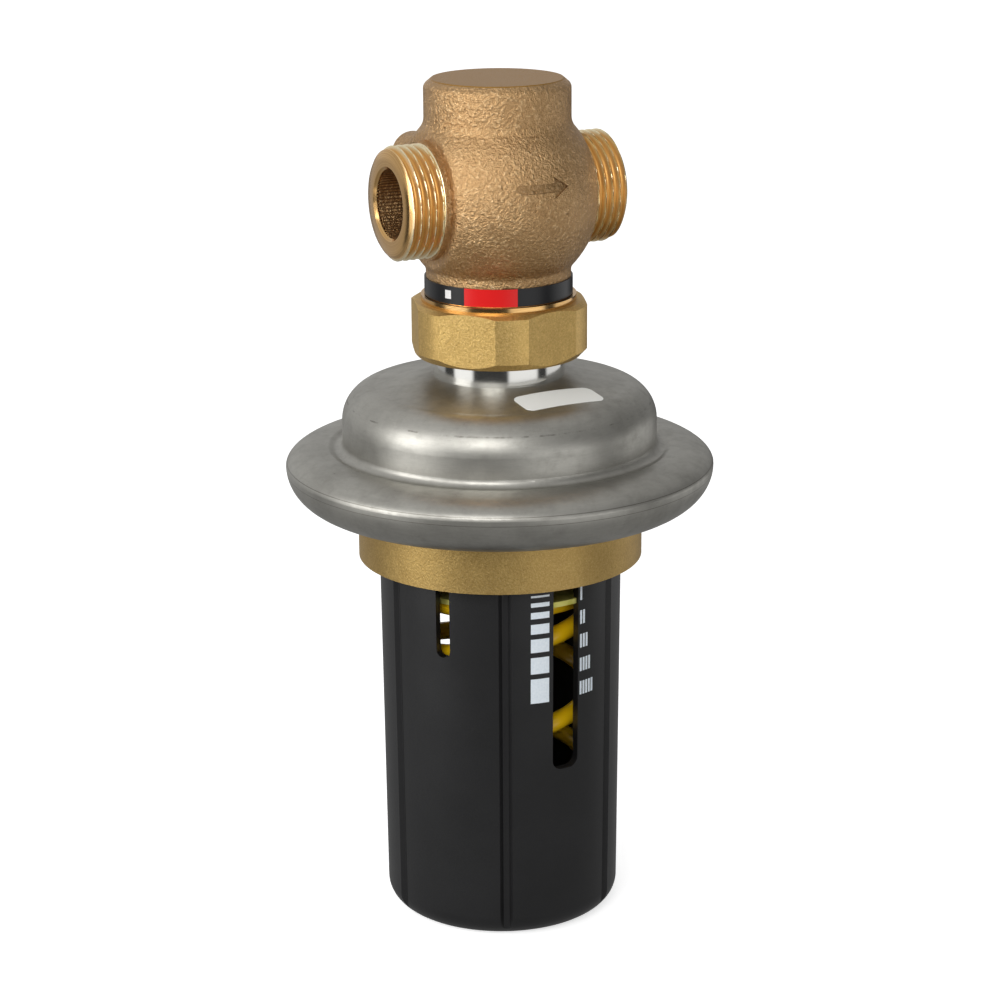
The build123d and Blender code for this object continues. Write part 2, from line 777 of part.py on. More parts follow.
# Valve body, outside: bulb, cap and neck turned about the stem, ports turned about the pipe
port_axis = Axis((0, 0, z_port), (1, 0, 0))
cap_seam = math.sqrt(bulb_r**2 - cap_r**2)
neck_seam = math.sqrt(bulb_r**2 - body_neck_r**2)
flat_edge = math.sqrt(bulb_r**2 - bulb_flat**2)
port_chord = math.sqrt(cavity_r**2 - port_bore_r**2)
with BuildPart() as valve_body:
    with BuildSketch(Plane.XZ) as outline:
        with BuildLine():
            bulb = ThreePointArc(
                (body_neck_r, z_port - neck_seam), (bulb_r, z_port), (cap_r, z_port + cap_seam)
            )
            Polyline(
                bulb @ 1,
                (cap_r, z_cap - cap_slope_drop),
                (cap_r - cap_slope_width, z_cap),
                (0, z_cap),
                (0, z_body),
                (body_thread_r - body_thread_chamfer, z_body),
                (body_thread_r, z_body + body_thread_chamfer),
                (body_thread_r, z_collar),
                (body_collar_r, z_collar),
                (body_collar_r, z_band),
                (body_neck_r, z_band),
                bulb @ 0,
            )
        make_face()
        for corner, size in (
            ((cap_r, z_cap - cap_slope_drop, 0), cap_round),
            ((cap_r, z_port + cap_seam, 0), cap_seam_round),
            ((body_neck_r, z_port - neck_seam, 0), neck_seam_round),
        ):
            fillet(outline.vertices().sort_by_distance(corner)[0], size)
    revolve(axis=Axis.Z)
    for side in (-1, 1):
        with Locations((side * (bulb_flat + bulb_r / 2), 0, z_port)):
            Box(bulb_r, 2 * bulb_r, 2 * flat_edge + past, mode=Mode.SUBTRACT)
    for side in (-1, 1):
        flat_edges = valve_body.edges().filter_by_position(Axis.X, side * bulb_flat, side * bulb_flat)
        fillet(flat_edges, bulb_flat_round)
    for side in (-1, 1):
        with BuildSketch(Plane.XZ):
            with BuildLine():
                Polyline(
                    (side * (bulb_flat - bulb_flat_round), z_port),
                    (side * (bulb_flat - bulb_flat_round), z_port + port_collar_r),
                    (side * port_collar_end, z_port + port_collar_r),
                    (side * port_collar_end, z_port + port_thread_r),
                    (side * (port_face - port_chamfer_length), z_port + port_thread_r),
                    (side * port_face, z_port + port_thread_r - port_chamfer),
                    (side * port_face, z_port),
                    close=True,
                )
            make_face()
        revolve(axis=port_axis)
    with BuildSketch(Plane.XZ.offset(-tap_reach)):
        with Locations((tap_x, z_port + tap_height)):
            Circle(tap_r)
    extrude(amount=tap_reach / 2)
    fillet(valve_body.edges().filter_by(GeomType.CIRCLE).sort_by(Axis.Y)[-1], tap_round)
    add(water_way.part, mode=Mode.SUBTRACT)
    add(flow_arrow.part, mode=Mode.SUBTRACT)
    for side in (-1, 1):
        with BuildSketch(Plane.YZ.offset(side * (port_chord - past))):
            with Locations((0, z_port)):
                Circle(port_bore_r)
        extrude(amount=side * (port_face - port_chord + 2 * past), mode=Mode.SUBTRACT)
        face_edges = valve_body.edges().filter_by_position(Axis.X, side * port_face, side * port_face)
        chamfer(face_edges.sort_by(SortBy.RADIUS)[0], bore_chamfer)
    with BuildSketch(Plane.XZ.offset(-tap_reach)):
        with Locations((tap_x, z_port + tap_height)):
            Circle(impulse_r)
    extrude(amount=tap_depth, mode=Mode.SUBTRACT)
    with BuildSketch(Plane.XZ.offset(-tap_reach)):
        with Locations((tap_x, z_port + tap_height)):
            Circle(drilling_r)
    extrude(amount=tap_reach / 2, mode=Mode.SUBTRACT)
valve_body.part.label = "valve_body"
export_step(valve_body.part, "parts/valve_body.step")

# Label band: a bare plastic strap round the neck of the valve body
with BuildPart() as label_band:
    with BuildSketch(Plane.XZ):
        ring(body_neck_r, body_neck_r + band_sheet, z_band + band_gap, z_band + band_gap + band_height)
    revolve(axis=Axis.Z)
label_band.part.label = "label_band"
export_step(label_band.part, "parts/label_band.step")

# Valve insert: guides the stem and holds the cylinder in which the balanced cone slides
z_insert_top = z_body + insert_height
z_pocket_roof = z_body + insert_pocket
z_cylinder = z_pocket_roof + insert_guide
z_guide_groove = z_pocket_roof + (insert_guide - seal_section) / 2
z_piston_groove = z_insert_top - seal_section - piston_seal_drop
balance_r = piston_r + shaft_gap
with BuildPart() as valve_insert:
    with BuildSketch(Plane.XZ):
        ring(balance_r, insert_r, z_cylinder, z_insert_top)
        ring(valve_stem_r + shaft_gap, insert_r, z_pocket_roof, z_cylinder)
        ring(insert_pocket_r, insert_r, z_body, z_pocket_roof)
        ring(insert_r, insert_flange_r, z_body, z_body + insert_flange)
        with Locations((valve_stem_r, z_guide_groove + seal_section / 2)):
            Rectangle(2 * seal_section, seal_section, mode=Mode.SUBTRACT)
        with Locations((balance_r, z_piston_groove + seal_section / 2)):
            Rectangle(2 * seal_section, seal_section, mode=Mode.SUBTRACT)
        with Locations((insert_r, z_pocket_roof)):
            Rectangle(2 * seal_section, seal_section, mode=Mode.SUBTRACT)
    revolve(axis=Axis.Z)
    with BuildSketch(Plane.XY.offset(z_body)):
        with Locations((insert_drain_at, 0)):
            Circle(insert_drain_r)
    extrude(amount=insert_height, mode=Mode.SUBTRACT)
valve_insert.part.label = "valve_insert"
export_step(valve_insert.part, "parts/valve_insert.step")

for name, inner_r, outer_r, low in (
    ("guide_seal", valve_stem_r + shaft_gap, valve_stem_r + seal_section, z_guide_groove),
    ("piston_seal", balance_r, balance_r + seal_section - shaft_gap, z_piston_groove),
    ("insert_seal", insert_r - seal_section + shaft_gap, insert_r, z_pocket_roof - seal_section / 2),
):
    seal = o_ring(inner_r, outer_r, low)
    seal.label = name
    export_step(seal, f"parts/{name}.step")

# Seat ring: a stainless ring pressed into the partition
with BuildPart() as seat_ring:
    with BuildSketch(Plane.XZ):
        ring(seat_bore_r, seat_r, z_seat, z_web + web / 2)
    revolve(axis=Axis.Z)
seat_ring.part.label = "seat_ring"
export_step(seat_ring.part, "parts/seat_ring.step")

# Valve stem and cone: the cone has a balancing piston below and a ported skirt above
z_skirt = z_cone_seal + cone_seal_sheet
skirt_r = seat_bore_r - 2 * touch_gap
z_cone_top = z_skirt + cone_nut_height
with BuildPart() as valve_stem:
    with BuildSketch(Plane.XZ):
        ring(0, valve_stem_r, z_socket, z_cone_top + thread_end)
    revolve(axis=Axis.Z)
valve_stem.part.label = "valve_stem"
export_step(valve_stem.part, "parts/valve_stem.step")

with BuildPart() as valve_cone:
    with BuildSketch(Plane.XZ):
        ring(valve_stem_r, piston_r, z_piston, z_cone)
        ring(valve_stem_r, cone_r, z_cone, z_cone_seal)
        ring(valve_stem_r, skirt_r, z_cone_seal, z_skirt)
        ring(skirt_r - skirt_wall, skirt_r, z_skirt, z_skirt + skirt_height)
    revolve(axis=Axis.Z)
    with BuildSketch(Plane.XY.offset(z_skirt)):
        with PolarLocations(0, 2):
            Rectangle(2 * cone_r, skirt_port)
    extrude(amount=skirt_height, mode=Mode.SUBTRACT)
valve_cone.part.label = "valve_cone"
export_step(valve_cone.part, "parts/valve_cone.step")

with BuildPart() as cone_seal:
    with BuildSketch(Plane.XZ):
        ring(skirt_r, cone_r, z_cone_seal, z_skirt)
    revolve(axis=Axis.Z)
cone_seal.part.label = "cone_seal"
export_step(cone_seal.part, "parts/cone_seal.step")

with BuildPart() as cone_nut:
    with BuildSketch(Plane.XY.offset(z_skirt)):
        RegularPolygon(cone_nut_flats / 2, 6, major_radius=False)
        Circle(valve_stem_r, mode=Mode.SUBTRACT)
    extrude(amount=cone_nut_height)
cone_nut.part.label = "cone_nut"
export_step(cone_nut.part, "parts/cone_nut.step")
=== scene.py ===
# %% [markdown]
# # A differential pressure controller
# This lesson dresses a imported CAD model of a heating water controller. The solids already have the
# right shapes and sizes, so Blender adds what only shows close up: cut threads, the grain of a
# sand casting, brushed and blasted metal, the printed setting scale, light and a camera.

# %% Load the frame
import json
import math

import bmesh
import bpy
from mathutils import Matrix, Vector
from mathutils.bvhtree import BVHTree


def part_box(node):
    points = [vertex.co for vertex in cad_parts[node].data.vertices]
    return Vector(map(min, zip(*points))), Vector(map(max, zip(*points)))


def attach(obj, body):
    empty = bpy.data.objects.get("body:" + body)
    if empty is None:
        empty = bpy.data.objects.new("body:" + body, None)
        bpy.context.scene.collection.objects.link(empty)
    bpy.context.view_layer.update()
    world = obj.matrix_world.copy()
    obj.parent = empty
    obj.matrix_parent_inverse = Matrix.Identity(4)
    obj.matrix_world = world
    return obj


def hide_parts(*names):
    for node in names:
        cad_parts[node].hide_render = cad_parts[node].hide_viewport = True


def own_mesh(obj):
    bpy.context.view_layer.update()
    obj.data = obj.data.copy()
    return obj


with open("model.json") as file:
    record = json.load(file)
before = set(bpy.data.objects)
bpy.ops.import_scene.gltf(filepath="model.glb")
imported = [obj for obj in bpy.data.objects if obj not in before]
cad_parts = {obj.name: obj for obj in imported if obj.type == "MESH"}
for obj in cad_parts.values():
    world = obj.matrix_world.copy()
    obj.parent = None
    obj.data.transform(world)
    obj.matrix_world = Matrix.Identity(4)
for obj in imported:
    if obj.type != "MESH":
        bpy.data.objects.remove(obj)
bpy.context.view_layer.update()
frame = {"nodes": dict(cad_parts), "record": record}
MM = 0.001

# %% [markdown]
# ## Places read from the frame
# A piece that sits on a CAD part takes its place from that part's box or from the frame's own list
# of mounts, so it still fits after the CAD changes. All of these are in millimetres, because
# threads and labels are measured in them.

# %% Read the main places
def low(node, axis=2):
    """The lowest coordinate of a CAD node along an axis, in millimetres."""
    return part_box(node)[0][axis] / MM


def high(node, axis=2):
    """The highest coordinate of a CAD node along an axis, in millimetres."""
    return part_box(node)[1][axis] / MM


pipe_mount = next(m for m in frame["record"]["mounts"] if m["name"] == "outlet_thread")
PORT_HEIGHT = pipe_mount["pos_m"][2] / MM
PIPE_CREST = pipe_mount["dims"]["r_mm"]
THREAD_START = pipe_mount["pos_m"][0] / MM - pipe_mount["dims"]["length_mm"] / 2
PORT_FACE = high("valve_body", 0)
NUT_TOP = high("union_nut")
RING_TOP = high("lower_casing")
CASING_TOP = high("upper_casing")
print("port height", round(PORT_HEIGHT, 2), "thread", round(THREAD_START, 2),
      "to", round(PORT_FACE, 2))
print("nut top", round(NUT_TOP, 2), "ring top", round(RING_TOP, 2),
      "casing top", round(CASING_TOP, 2))

# %% [markdown]
# ## Writing node trees as sums
# A material or a Geometry Nodes tree is a sum written with boxes and wires. This small class wraps
# one socket, so that `1 - mask` or `height * 0.5` adds the Math node by itself. `node()` makes any
# other kind: its settings are set first, and then the values or links of its inputs. The last few
# methods take a vector apart, put one together and scale it, which every tree below does.

# %% A socket that does sums
class Flow:
    """One value on its way through a node tree."""

    def __init__(self, tree, socket=None):
        self.tree = tree
        self.socket = socket

    def node(self, kind, settings=None, inputs=None, output=0):
        """Adds a node, sets it up, feeds its inputs, and gives one of its outputs."""
        made = self.tree.nodes.new(kind)
        for name, value in (settings or {}).items():
            setattr(made, name, value)
        for key, value in (inputs or {}).items():
            self.feed(made.inputs[key], value)
        return Flow(self.tree, made.outputs[output])

    def feed(self, target, value):
        """Links a socket to a value on its way, or sets it to a plain number or colour."""
        if isinstance(value, Flow):
            self.tree.links.new(value.socket, target)
        else:
            target.default_value = value

    def math(self, operation, *values):
        return self.node("ShaderNodeMath", {"operation": operation}, dict(enumerate(values)))

    def __add__(self, other):
        return self.math("ADD", self, other)

    def __sub__(self, other):
        return self.math("SUBTRACT", self, other)

    def __rsub__(self, other):
        return self.math("SUBTRACT", other, self)

    def __mul__(self, other):
        return self.math("MULTIPLY", self, other)

    def __truediv__(self, other):
        return self.math("DIVIDE", self, other)

    def __rtruediv__(self, other):
        return self.math("DIVIDE", other, self)

    def __pow__(self, other):
        return self.math("POWER", self, other)

    def __gt__(self, other):
        return self.math("GREATER_THAN", self, other)

    def __lt__(self, other):
        return self.math("LESS_THAN", self, other)

    def __abs__(self):
        return self.math("ABSOLUTE", self)

    __radd__ = __add__
    __rmul__ = __mul__

    def at_least(self, other):
        return self.math("MAXIMUM", self, other)

    def at_most(self, other):
        return self.math("MINIMUM", self, other)

    def root(self):
        return self.math("SQRT", self)

    def cosine(self):
        return self.math("COSINE", self)

    def sine(self):
        return self.math("SINE", self)

    def fraction(self):
        return self.math("FRACT", self)

    def rounded(self):
        return self.math("ROUND", self)

    def angle(self, across):
        """The angle, in radians, of a point at this value one way and `across` the other."""
        return self.math("ARCTAN2", self, across)

    def within(self, first, last):
        """1 between two values, and 0 outside them."""
        return (self > first) * (self < last)

    def ramp(self, start, end):
        """0 at start, 1 at end, and a straight line between them."""
        return self.node("ShaderNodeMapRange", inputs={0: self, 1: start, 2: end})

    def parts(self):
        """The three numbers of a vector."""
        split = self.node("ShaderNodeSeparateXYZ", inputs={0: self})
        return [Flow(self.tree, part) for part in split.socket.node.outputs]

    def vector(self, x, y, z):
        """A vector of three numbers, in the tree that this value is in."""
        return self.node("ShaderNodeCombineXYZ", inputs={0: x, 1: y, 2: z})

    def scaled(self, factor):
        """A vector times a number."""
        return self.node("ShaderNodeVectorMath", {"operation": "SCALE"},
                         {0: self, "Scale": factor})


# %% [markdown]
# ## What every finish has
# Each finish is a Principled shader that reads Object coordinates in millimetres, so a grain of
# half a millimetre is half a millimetre on every piece. Constants stay on the shader's own
# sockets, and only what varies over the surface is wired to it.

# %% Start a finish
def colour(red, green, blue):
    """A picture's 0 to 255 colour as the linear colour that a shader works in."""
    return tuple(((c / 255 + 0.055) / 1.055) ** 2.4 if c > 10 else c / 255 / 12.92
                 for c in (red, green, blue)) + (1.0,)


class Finish:
    """A material, its shader, the shaded point in millimetres, and its radius from the stem."""

    def __init__(self, name, base, roughness, metallic=0.0, **constants):
        self.material = bpy.data.materials.new(name)
        self.material.use_nodes = True
        self.tree = self.material.node_tree
        self.shader = self.tree.nodes["Principled BSDF"]
        self.point = Flow(self.tree).node("ShaderNodeTexCoord", output="Object").scaled(1 / MM)
        self.x, self.y, self.z = self.point.parts()
        self.radius = (self.x * self.x + self.y * self.y).root()
        constants = {"Base Color": base, "Roughness": roughness, "Metallic": metallic, **constants}
        for socket, value in constants.items():
            self.feed(socket, value)

    def feed(self, socket, value):
        """Feeds one of the shader's sockets, by its name."""
        self.point.feed(self.shader.inputs[socket], value)

    def noise(self, per_mm, detail=2.0, roughness=0.5, point=None):
        """Noise of 0 to 1, with about so many grains to the millimetre."""
        return self.point.node("ShaderNodeTexNoise", inputs={
            "Vector": point or self.point, "Scale": per_mm, "Detail": detail,
            "Roughness": roughness})

    def stretched(self, x, y, z):
        """The shaded point, with each of its coordinates multiplied by a number."""
        return self.point.node("ShaderNodeVectorMath", {"operation": "MULTIPLY"},
                               {0: self.point, 1: (x, y, z)})

    def blend(self, mask, first, second):
        """One colour where the mask is 0, and another where it is 1."""
        return self.point.node("ShaderNodeMix", {"data_type": "RGBA"},
                               {0: mask, 6: first, 7: second}, output=2)

    def bump(self, height, depth_mm):
        """Raises the surface by a height of 0 to 1, times a depth in millimetres."""
        self.feed("Normal", self.point.node("ShaderNodeBump", inputs={
            "Height": height, "Distance": depth_mm * MM, "Strength": 1.0}))


# %% [markdown]
# ## Sand-cast bronze
# The body was poured into a sand mould, so its skin keeps the grains: about one to the millimetre,
# in patches of deeper and shallower tooth, with a pit here and there. The skin's colour is painted
# darker in the grain's valleys and pits, as painted shade, and lighter on the grain's peaks, as
# painted highlight, and the patches vary it at random. The pipe faces and the collar over the nut
# were turned bright afterwards, the bores are dull and painted darker inside, as painted shade, and
# the sunk flow arrow is painted darker, as painted shade in its recess. The material could be
# painted by hand, but here masks worked out from the shape's own coordinates tell these places
# apart, and they still fit when the body changes. A lathe leaves rings on a face, so there the noise
# reads the distance from the pipe's axis and nothing else.

# %% Bronze
def rings(finish, distance, per_mm):
    """Fine rings that a lathe tool leaves, one value for each distance from an axis."""
    return finish.noise(1.0, 2.0, point=distance.vector(distance * per_mm, 0.0, 0.0))


BRONZE = colour(208, 170, 122)
BRONZE_VALLEY_SHADE = colour(164, 128, 86)
BRONZE_PEAK_HIGHLIGHT = colour(232, 198, 152)
BRONZE_TURNED = colour(226, 184, 122)
BRONZE_BORE_SHADE = colour(132, 100, 66)
BRONZE_CAP = colour(174, 130, 62)
BRONZE_ARROW_SHADE = colour(112, 84, 54)
BRONZE_GROOVE = colour(196, 150, 92)
BULB_R = 30.0
BORE_EDGE = 9.99  # a hair inside the 10 mm bore
BORE_FROM = 12.0  # how far from the body's middle the two bores start
BORE_CHAMFER = 0.8
FACE_DEPTH = 1.5
COLLAR_TALL = 3.2
COLLAR_INNER = 20.0
ARROW_SUNK = 0.15  # the flow arrow lies at least this deep in the bulb
ARROW_SPAN = (1.0, 11.0)  # heights above the pipe's axis

cast = Finish("cast_bronze", BRONZE, 0.5, 1.0)
up_from_pipe = cast.z - PORT_HEIGHT
pipe_r = (cast.y * cast.y + up_from_pipe * up_from_pipe).root()
from_middle = abs(cast.x)
bore_r = BORE_EDGE + 0.5 * (from_middle - PORT_FACE + BORE_CHAMFER).at_least(0.0)
in_bore = (pipe_r < bore_r) * (from_middle > BORE_FROM)
on_face = (from_middle > PORT_FACE - FACE_DEPTH) * (pipe_r > BORE_EDGE)
on_collar = cast.z.within(NUT_TOP, NUT_TOP + COLLAR_TALL) * (cast.radius > COLLAR_INNER)
turned = on_face.at_least(on_collar)
from_bulb = (cast.radius * cast.radius + up_from_pipe * up_from_pipe).root()
sunk = (from_bulb < BULB_R - ARROW_SUNK) * (cast.y < -0.7 * BULB_R)
sunk = sunk * up_from_pipe.within(*ARROW_SPAN)
on_cap = cast.z > high("valve_body") - 0.3
grain = cast.noise(1.05, 3.0, 0.6)
patches = cast.noise(0.12, 2.0)
pits = cast.noise(0.5, 1.0).ramp(0.27, 0.22)
sand = cast.noise(2.4, 2.0, 0.6)
skin = grain * (0.5 + 0.9 * patches) + 0.3 * sand - 0.35 * pits
face_lines = rings(cast, pipe_r, 3.2)
tooth_depth = (1 - turned) * (1 - 0.55 * on_cap) * (1 - 0.85 * in_bore) * (1 - 0.5 * sunk)
cast.bump(skin * tooth_depth + 0.05 * face_lines * on_face, 0.62)
# Painted shade and highlight: the skin is painted darker in the grain's valleys and pits and lighter
# on its peaks, and the patches vary it at random.
tone = (1.1 * grain + 0.6 * patches + 0.3 * sand - 0.5 - 0.5 * pits).ramp(0.0, 1.0)
peak_highlight = (grain + 0.3 * sand).ramp(0.7, 0.9)
skin_colour = cast.blend(peak_highlight, cast.blend(tone, BRONZE_VALLEY_SHADE, BRONZE), BRONZE_PEAK_HIGHLIGHT)
skin_colour = cast.blend(on_cap * 0.9, skin_colour, BRONZE_CAP)
# Painted shade: the sunk flow arrow is painted darker in its recess.
skin_colour = cast.blend(sunk * 0.38, skin_colour, BRONZE_ARROW_SHADE)
bright_colour = cast.blend(face_lines.ramp(0.3, 0.6), BRONZE_GROOVE, BRONZE_TURNED)
outer_colour = cast.blend(turned, skin_colour, bright_colour)
# Painted shade: the bores are painted darker inside, and they are rougher too.
cast.feed("Base Color", cast.blend(in_bore, outer_colour, BRONZE_BORE_SHADE))
cast.feed("Roughness", 0.31 + 0.1 * grain - 0.18 * turned + 0.25 * in_bore)
print("pipe axis at", round(PORT_HEIGHT, 2), "mm, collar from", round(NUT_TOP, 2), "mm")

# %% [markdown]
# ## Brass
# The tool burnishes a thread as it cuts it, so its crests are smoother than its valleys. The crests
# are painted near white, as painted highlight, and the valleys darker, as painted shade, and a mask
# from the radius tells the two apart. The nut and the ring are blasted, which leaves an even, fine
# tooth with no direction, and many small bright specks are painted on it as painted glints. The ring
# is a shade darker than the nut, so one finish serves both, with a mask for the height.

# %% Turned and blasted brass
brass = Finish("turned_brass", colour(226, 176, 96), 0.18, 1.0)
up_from_pipe_axis = brass.z - PORT_HEIGHT
thread_r = (brass.y * brass.y + up_from_pipe_axis * up_from_pipe_axis).root()
on_pipe = brass.z > PORT_HEIGHT - PIPE_CREST - 1
VALLEY_SHADE_DEPTHS = (1.2, 0.15)  # depths under the crest between which the valleys' painted shade fades out
shaded_valley = (1 - thread_r.ramp(PIPE_CREST - VALLEY_SHADE_DEPTHS[0], PIPE_CREST - VALLEY_SHADE_DEPTHS[1])) * on_pipe
# Painted highlight and shade: the crests are painted near white and the valleys darker.
brass.feed("Base Color", brass.blend(shaded_valley, colour(255, 240, 200), colour(222, 172, 100)))
brass.feed("Roughness", 0.15 + 0.14 * brass.noise(0.7, 3.0) + 0.25 * shaded_valley)

blasted = Finish("blasted_brass", colour(196, 160, 88), 0.42, 1.0)
tooth = blasted.noise(1.5, 3.0, 0.65)
glint_specks = blasted.noise(2.8, 1.0).ramp(0.6, 0.72)
stains = blasted.noise(0.2, 3.0).ramp(0.35, 0.7)
blasted.bump(tooth, 0.1)
blasted.feed("Roughness", 0.36 + 0.16 * tooth)
brass_tone = blasted.blend(tooth.ramp(0.3, 0.7), colour(196, 162, 96), colour(228, 194, 124))
brass_tone = blasted.blend(stains * 0.35, brass_tone, colour(180, 146, 86))
# Painted glints: small bright specks painted into the colour.
brass_tone = blasted.blend(glint_specks * 0.6, brass_tone, colour(240, 212, 146))
ring_shade = (blasted.z < RING_TOP + 1) * 0.3
blasted.feed("Base Color", blasted.blend(ring_shade, brass_tone, colour(150, 124, 76)))
print("brass:", brass.material.name, "and", blasted.material.name)

# %% [markdown]
# ## Stainless steel
# The stub under the nut is polished until it mirrors the room in upright bands, and it gets no bump
# at all: on a mirror, even a hair of it tears the bands. The inner turned parts keep a tool's fine
# lines. The casing is pressed from sheet and has a satin skin, with handling scuffs, a broken circle
# where the press pad sat, and fine dark lines of painted shade along the creases where the sheet was
# rolled. Stretched noise gives the brushing and the streaks, and thin bands of radius or height give
# the marks.

# %% Steel
polished = Finish("polished_steel", colour(210, 209, 205), 0.11, 1.0)
polished.feed("Roughness", 0.09 + 0.05 * polished.noise(0.3, 3.0))

steel = Finish("turned_steel", colour(196, 194, 190), 0.24, 1.0)
steel.bump(rings(steel, steel.z, 5.0), 0.008)
steel.feed("Roughness", 0.2 + 0.14 * steel.noise(0.4, 3.0))

PAD_CIRCLE = (45.15, 45.42)  # radii
ROLLED_CREASE_SHADE = ((150.15, 150.45), (141.5, 141.75), (139.0, 139.2))  # heights
ROLLED_FROM = 50.0  # the radius from which they show
casing = Finish("pressed_steel", colour(170, 169, 164), 0.3, 1.0)
brushing = casing.noise(1.0, 4.0, 0.6, point=casing.stretched(0.5, 0.5, 3.5))
scuffs = casing.noise(0.07, 5.0, 0.65).ramp(0.42, 0.7)
smears = casing.noise(0.25, 4.0, 0.7).ramp(0.48, 0.75)
broken = casing.noise(0.16, 4.0, 0.7).ramp(0.47, 0.6)
pad_circle = casing.radius.within(*PAD_CIRCLE) * (casing.z > CASING_TOP - 12) * broken
rolled_crease_shade = casing.z.within(*ROLLED_CREASE_SHADE[0])
for span in ROLLED_CREASE_SHADE[1:]:
    rolled_crease_shade = rolled_crease_shade.at_least(casing.z.within(*span))
marks = pad_circle.at_least(rolled_crease_shade * (casing.radius > ROLLED_FROM))
streaks = casing.noise(1.0, 5.0, 0.75, point=casing.stretched(0.22, 0.22, 1.8))
scratches = streaks.ramp(0.64, 0.7) * scuffs
dulled = scuffs * 0.5 + smears * 0.25
casing_tone = casing.blend(dulled, colour(178, 176, 169), colour(140, 138, 131))
casing_tone = casing.blend(streaks.ramp(0.35, 0.75) * 0.22, casing_tone, colour(120, 118, 112))
casing_tone = casing.blend(scratches * 0.55, casing_tone, colour(76, 74, 70))
# Painted shade: dark lines along the rolled creases, together with the pad circle's dark mark, are
# painted into the colour here.
casing.feed("Base Color", casing.blend(marks * 0.5, casing_tone, colour(84, 80, 72)))
casing.feed("Roughness", 0.37 + 0.08 * brushing + 0.1 * smears)
casing.bump(brushing, 0.006)

passivated = Finish("yellow_passivated", colour(206, 198, 100), 0.3, 0.6)
rainbow = passivated.noise(0.35, 2.0).ramp(0.35, 0.7)
passivated_tone = passivated.blend(rainbow, colour(220, 214, 122), colour(196, 192, 88))
passivated.feed("Base Color", passivated_tone)
print("steel:", ", ".join(made.material.name for made in (polished, steel, casing, passivated)))

# %% [markdown]
# ## Plastics, rubber and paint
# The handle is moulded in a black plastic with a satin spark-eroded texture, so it is never a
# clean mirror: a fine tooth breaks up the highlight. The spring is dipped in yellow enamel, whose
# thin gloss is the shader's coat. Paper and printing ink are matt, and only their tone varies a
# little.

# %% Plastics, rubber and paint
moulded = Finish("moulded_black", colour(22, 22, 23), 0.42)
texture = moulded.noise(2.4, 2.0, 0.6)
handled = moulded.noise(0.05, 3.0).ramp(0.35, 0.7)
moulded.bump(texture, 0.03)
moulded.feed("Roughness", 0.34 + 0.12 * texture)
moulded.feed("Base Color", moulded.blend(handled, colour(20, 20, 21), colour(26, 26, 27)))

enamel = Finish("yellow_enamel", colour(250, 200, 14), 0.32, 0.0, **{"Coat Weight": 0.4})
enamel_tone = enamel.blend(enamel.noise(0.3, 3.0), colour(246, 192, 8), colour(255, 210, 22))
enamel.feed("Base Color", enamel_tone)

rubber = Finish("moulded_rubber", colour(28, 28, 28), 0.6)
rubber.bump(rubber.noise(2.0, 2.0), 0.03)

bush = Finish("slippery_plastic", colour(226, 220, 206), 0.4)
bush.feed("Roughness", 0.34 + 0.12 * bush.noise(0.8, 2.0))

ink = Finish("printing_ink", colour(236, 244, 252), 0.5)
ink_wear = ink.noise(1.5, 3.0).ramp(0.3, 0.7)
ink.feed("Base Color", ink.blend(ink_wear, colour(228, 238, 246), colour(240, 248, 254)))

paper = Finish("sticker_paper", colour(236, 238, 235), 0.5)
paper.feed("Roughness", 0.5 + 0.1 * paper.noise(2.0, 2.0))
print("plastics:", ", ".join(made.material.name for made in (moulded, rubber, bush)))
print("paint and print:", ", ".join(made.material.name for made in (enamel, ink, paper)))

# %% [markdown]
# ## The strap round the neck
# The strap is a printed film: gloss black, with one red field and one small white square. A
# picture could be wrapped round it, but two plain fields need none. The angle round the stem comes
# from an Arctangent node, and comparisons of angle and height cut each field out.

# %% Strap
strap = Finish("printed_film", colour(16, 17, 20), 0.34, 0.0, **{"Specular IOR Level": 0.35})
heading = strap.y.angle(strap.x) * math.degrees(1)
STRAP_FOOT = low("label_band")
RED_FIELD = ((-142.5, -101.0), (0.0, 5.2))  # headings, and heights above the strap's foot
WHITE_FIELD = ((-160.5, -154.5), (1.5, 4.0))


def field(headings, heights):
    """1 on an oblong of the strap, and 0 off it."""
    up = [STRAP_FOOT + height for height in heights]
    return heading.within(*headings) * strap.z.within(*up)


strap_colour = strap.blend(field(*RED_FIELD), colour(16, 17, 20), colour(214, 24, 24))
strap_colour = strap.blend(field(*WHITE_FIELD), strap_colour, colour(225, 225, 225))
strap.feed("Base Color", strap_colour)
print("strap foot at", round(STRAP_FOOT, 2), "mm")

# %% [markdown]
# ## Paint the CAD parts
# A CAD node keeps its mesh and gets a better material. This table says which finish each node has.
# The two counts that the cell prints are the same as long as no node is left out.

# %% Paint the nodes
PAINT = {
    cast: ["valve_body"],
    brass: ["valve_insert", "setting_tube", "setting_nut", "valve_cone"],
    blasted: ["union_nut", "lower_casing"],
    polished: ["actuator_neck"],
    steel: ["seat_ring", "snap_ring", "handle_retainer", "actuator_stem",
            "lower_diaphragm_plate", "upper_diaphragm_plate", "diaphragm_nut", "stem_lock_nut",
            "valve_stem", "cone_nut"],
    casing: ["upper_casing"],
    passivated: ["indicator_plate", "lower_spring_plate"],
    rubber: ["diaphragm", "insert_seal", "piston_seal", "guide_seal", "union_gasket", "neck_seal",
             "stem_seal", "cone_seal"],
    bush: ["stem_bush", "slip_washer"],
    moulded: ["handle"],
    enamel: ["setting_spring"],
    strap: ["label_band"],
}


def paint(piece, finish):
    """Gives a piece one finish all over."""
    piece.data.materials.clear()
    piece.data.materials.append(finish.material)


for finish, names in PAINT.items():
    for name in names:
        paint(frame["nodes"][name], finish)
print("painted", sum(len(names) for names in PAINT.values()), "of", len(frame["nodes"]), "nodes")

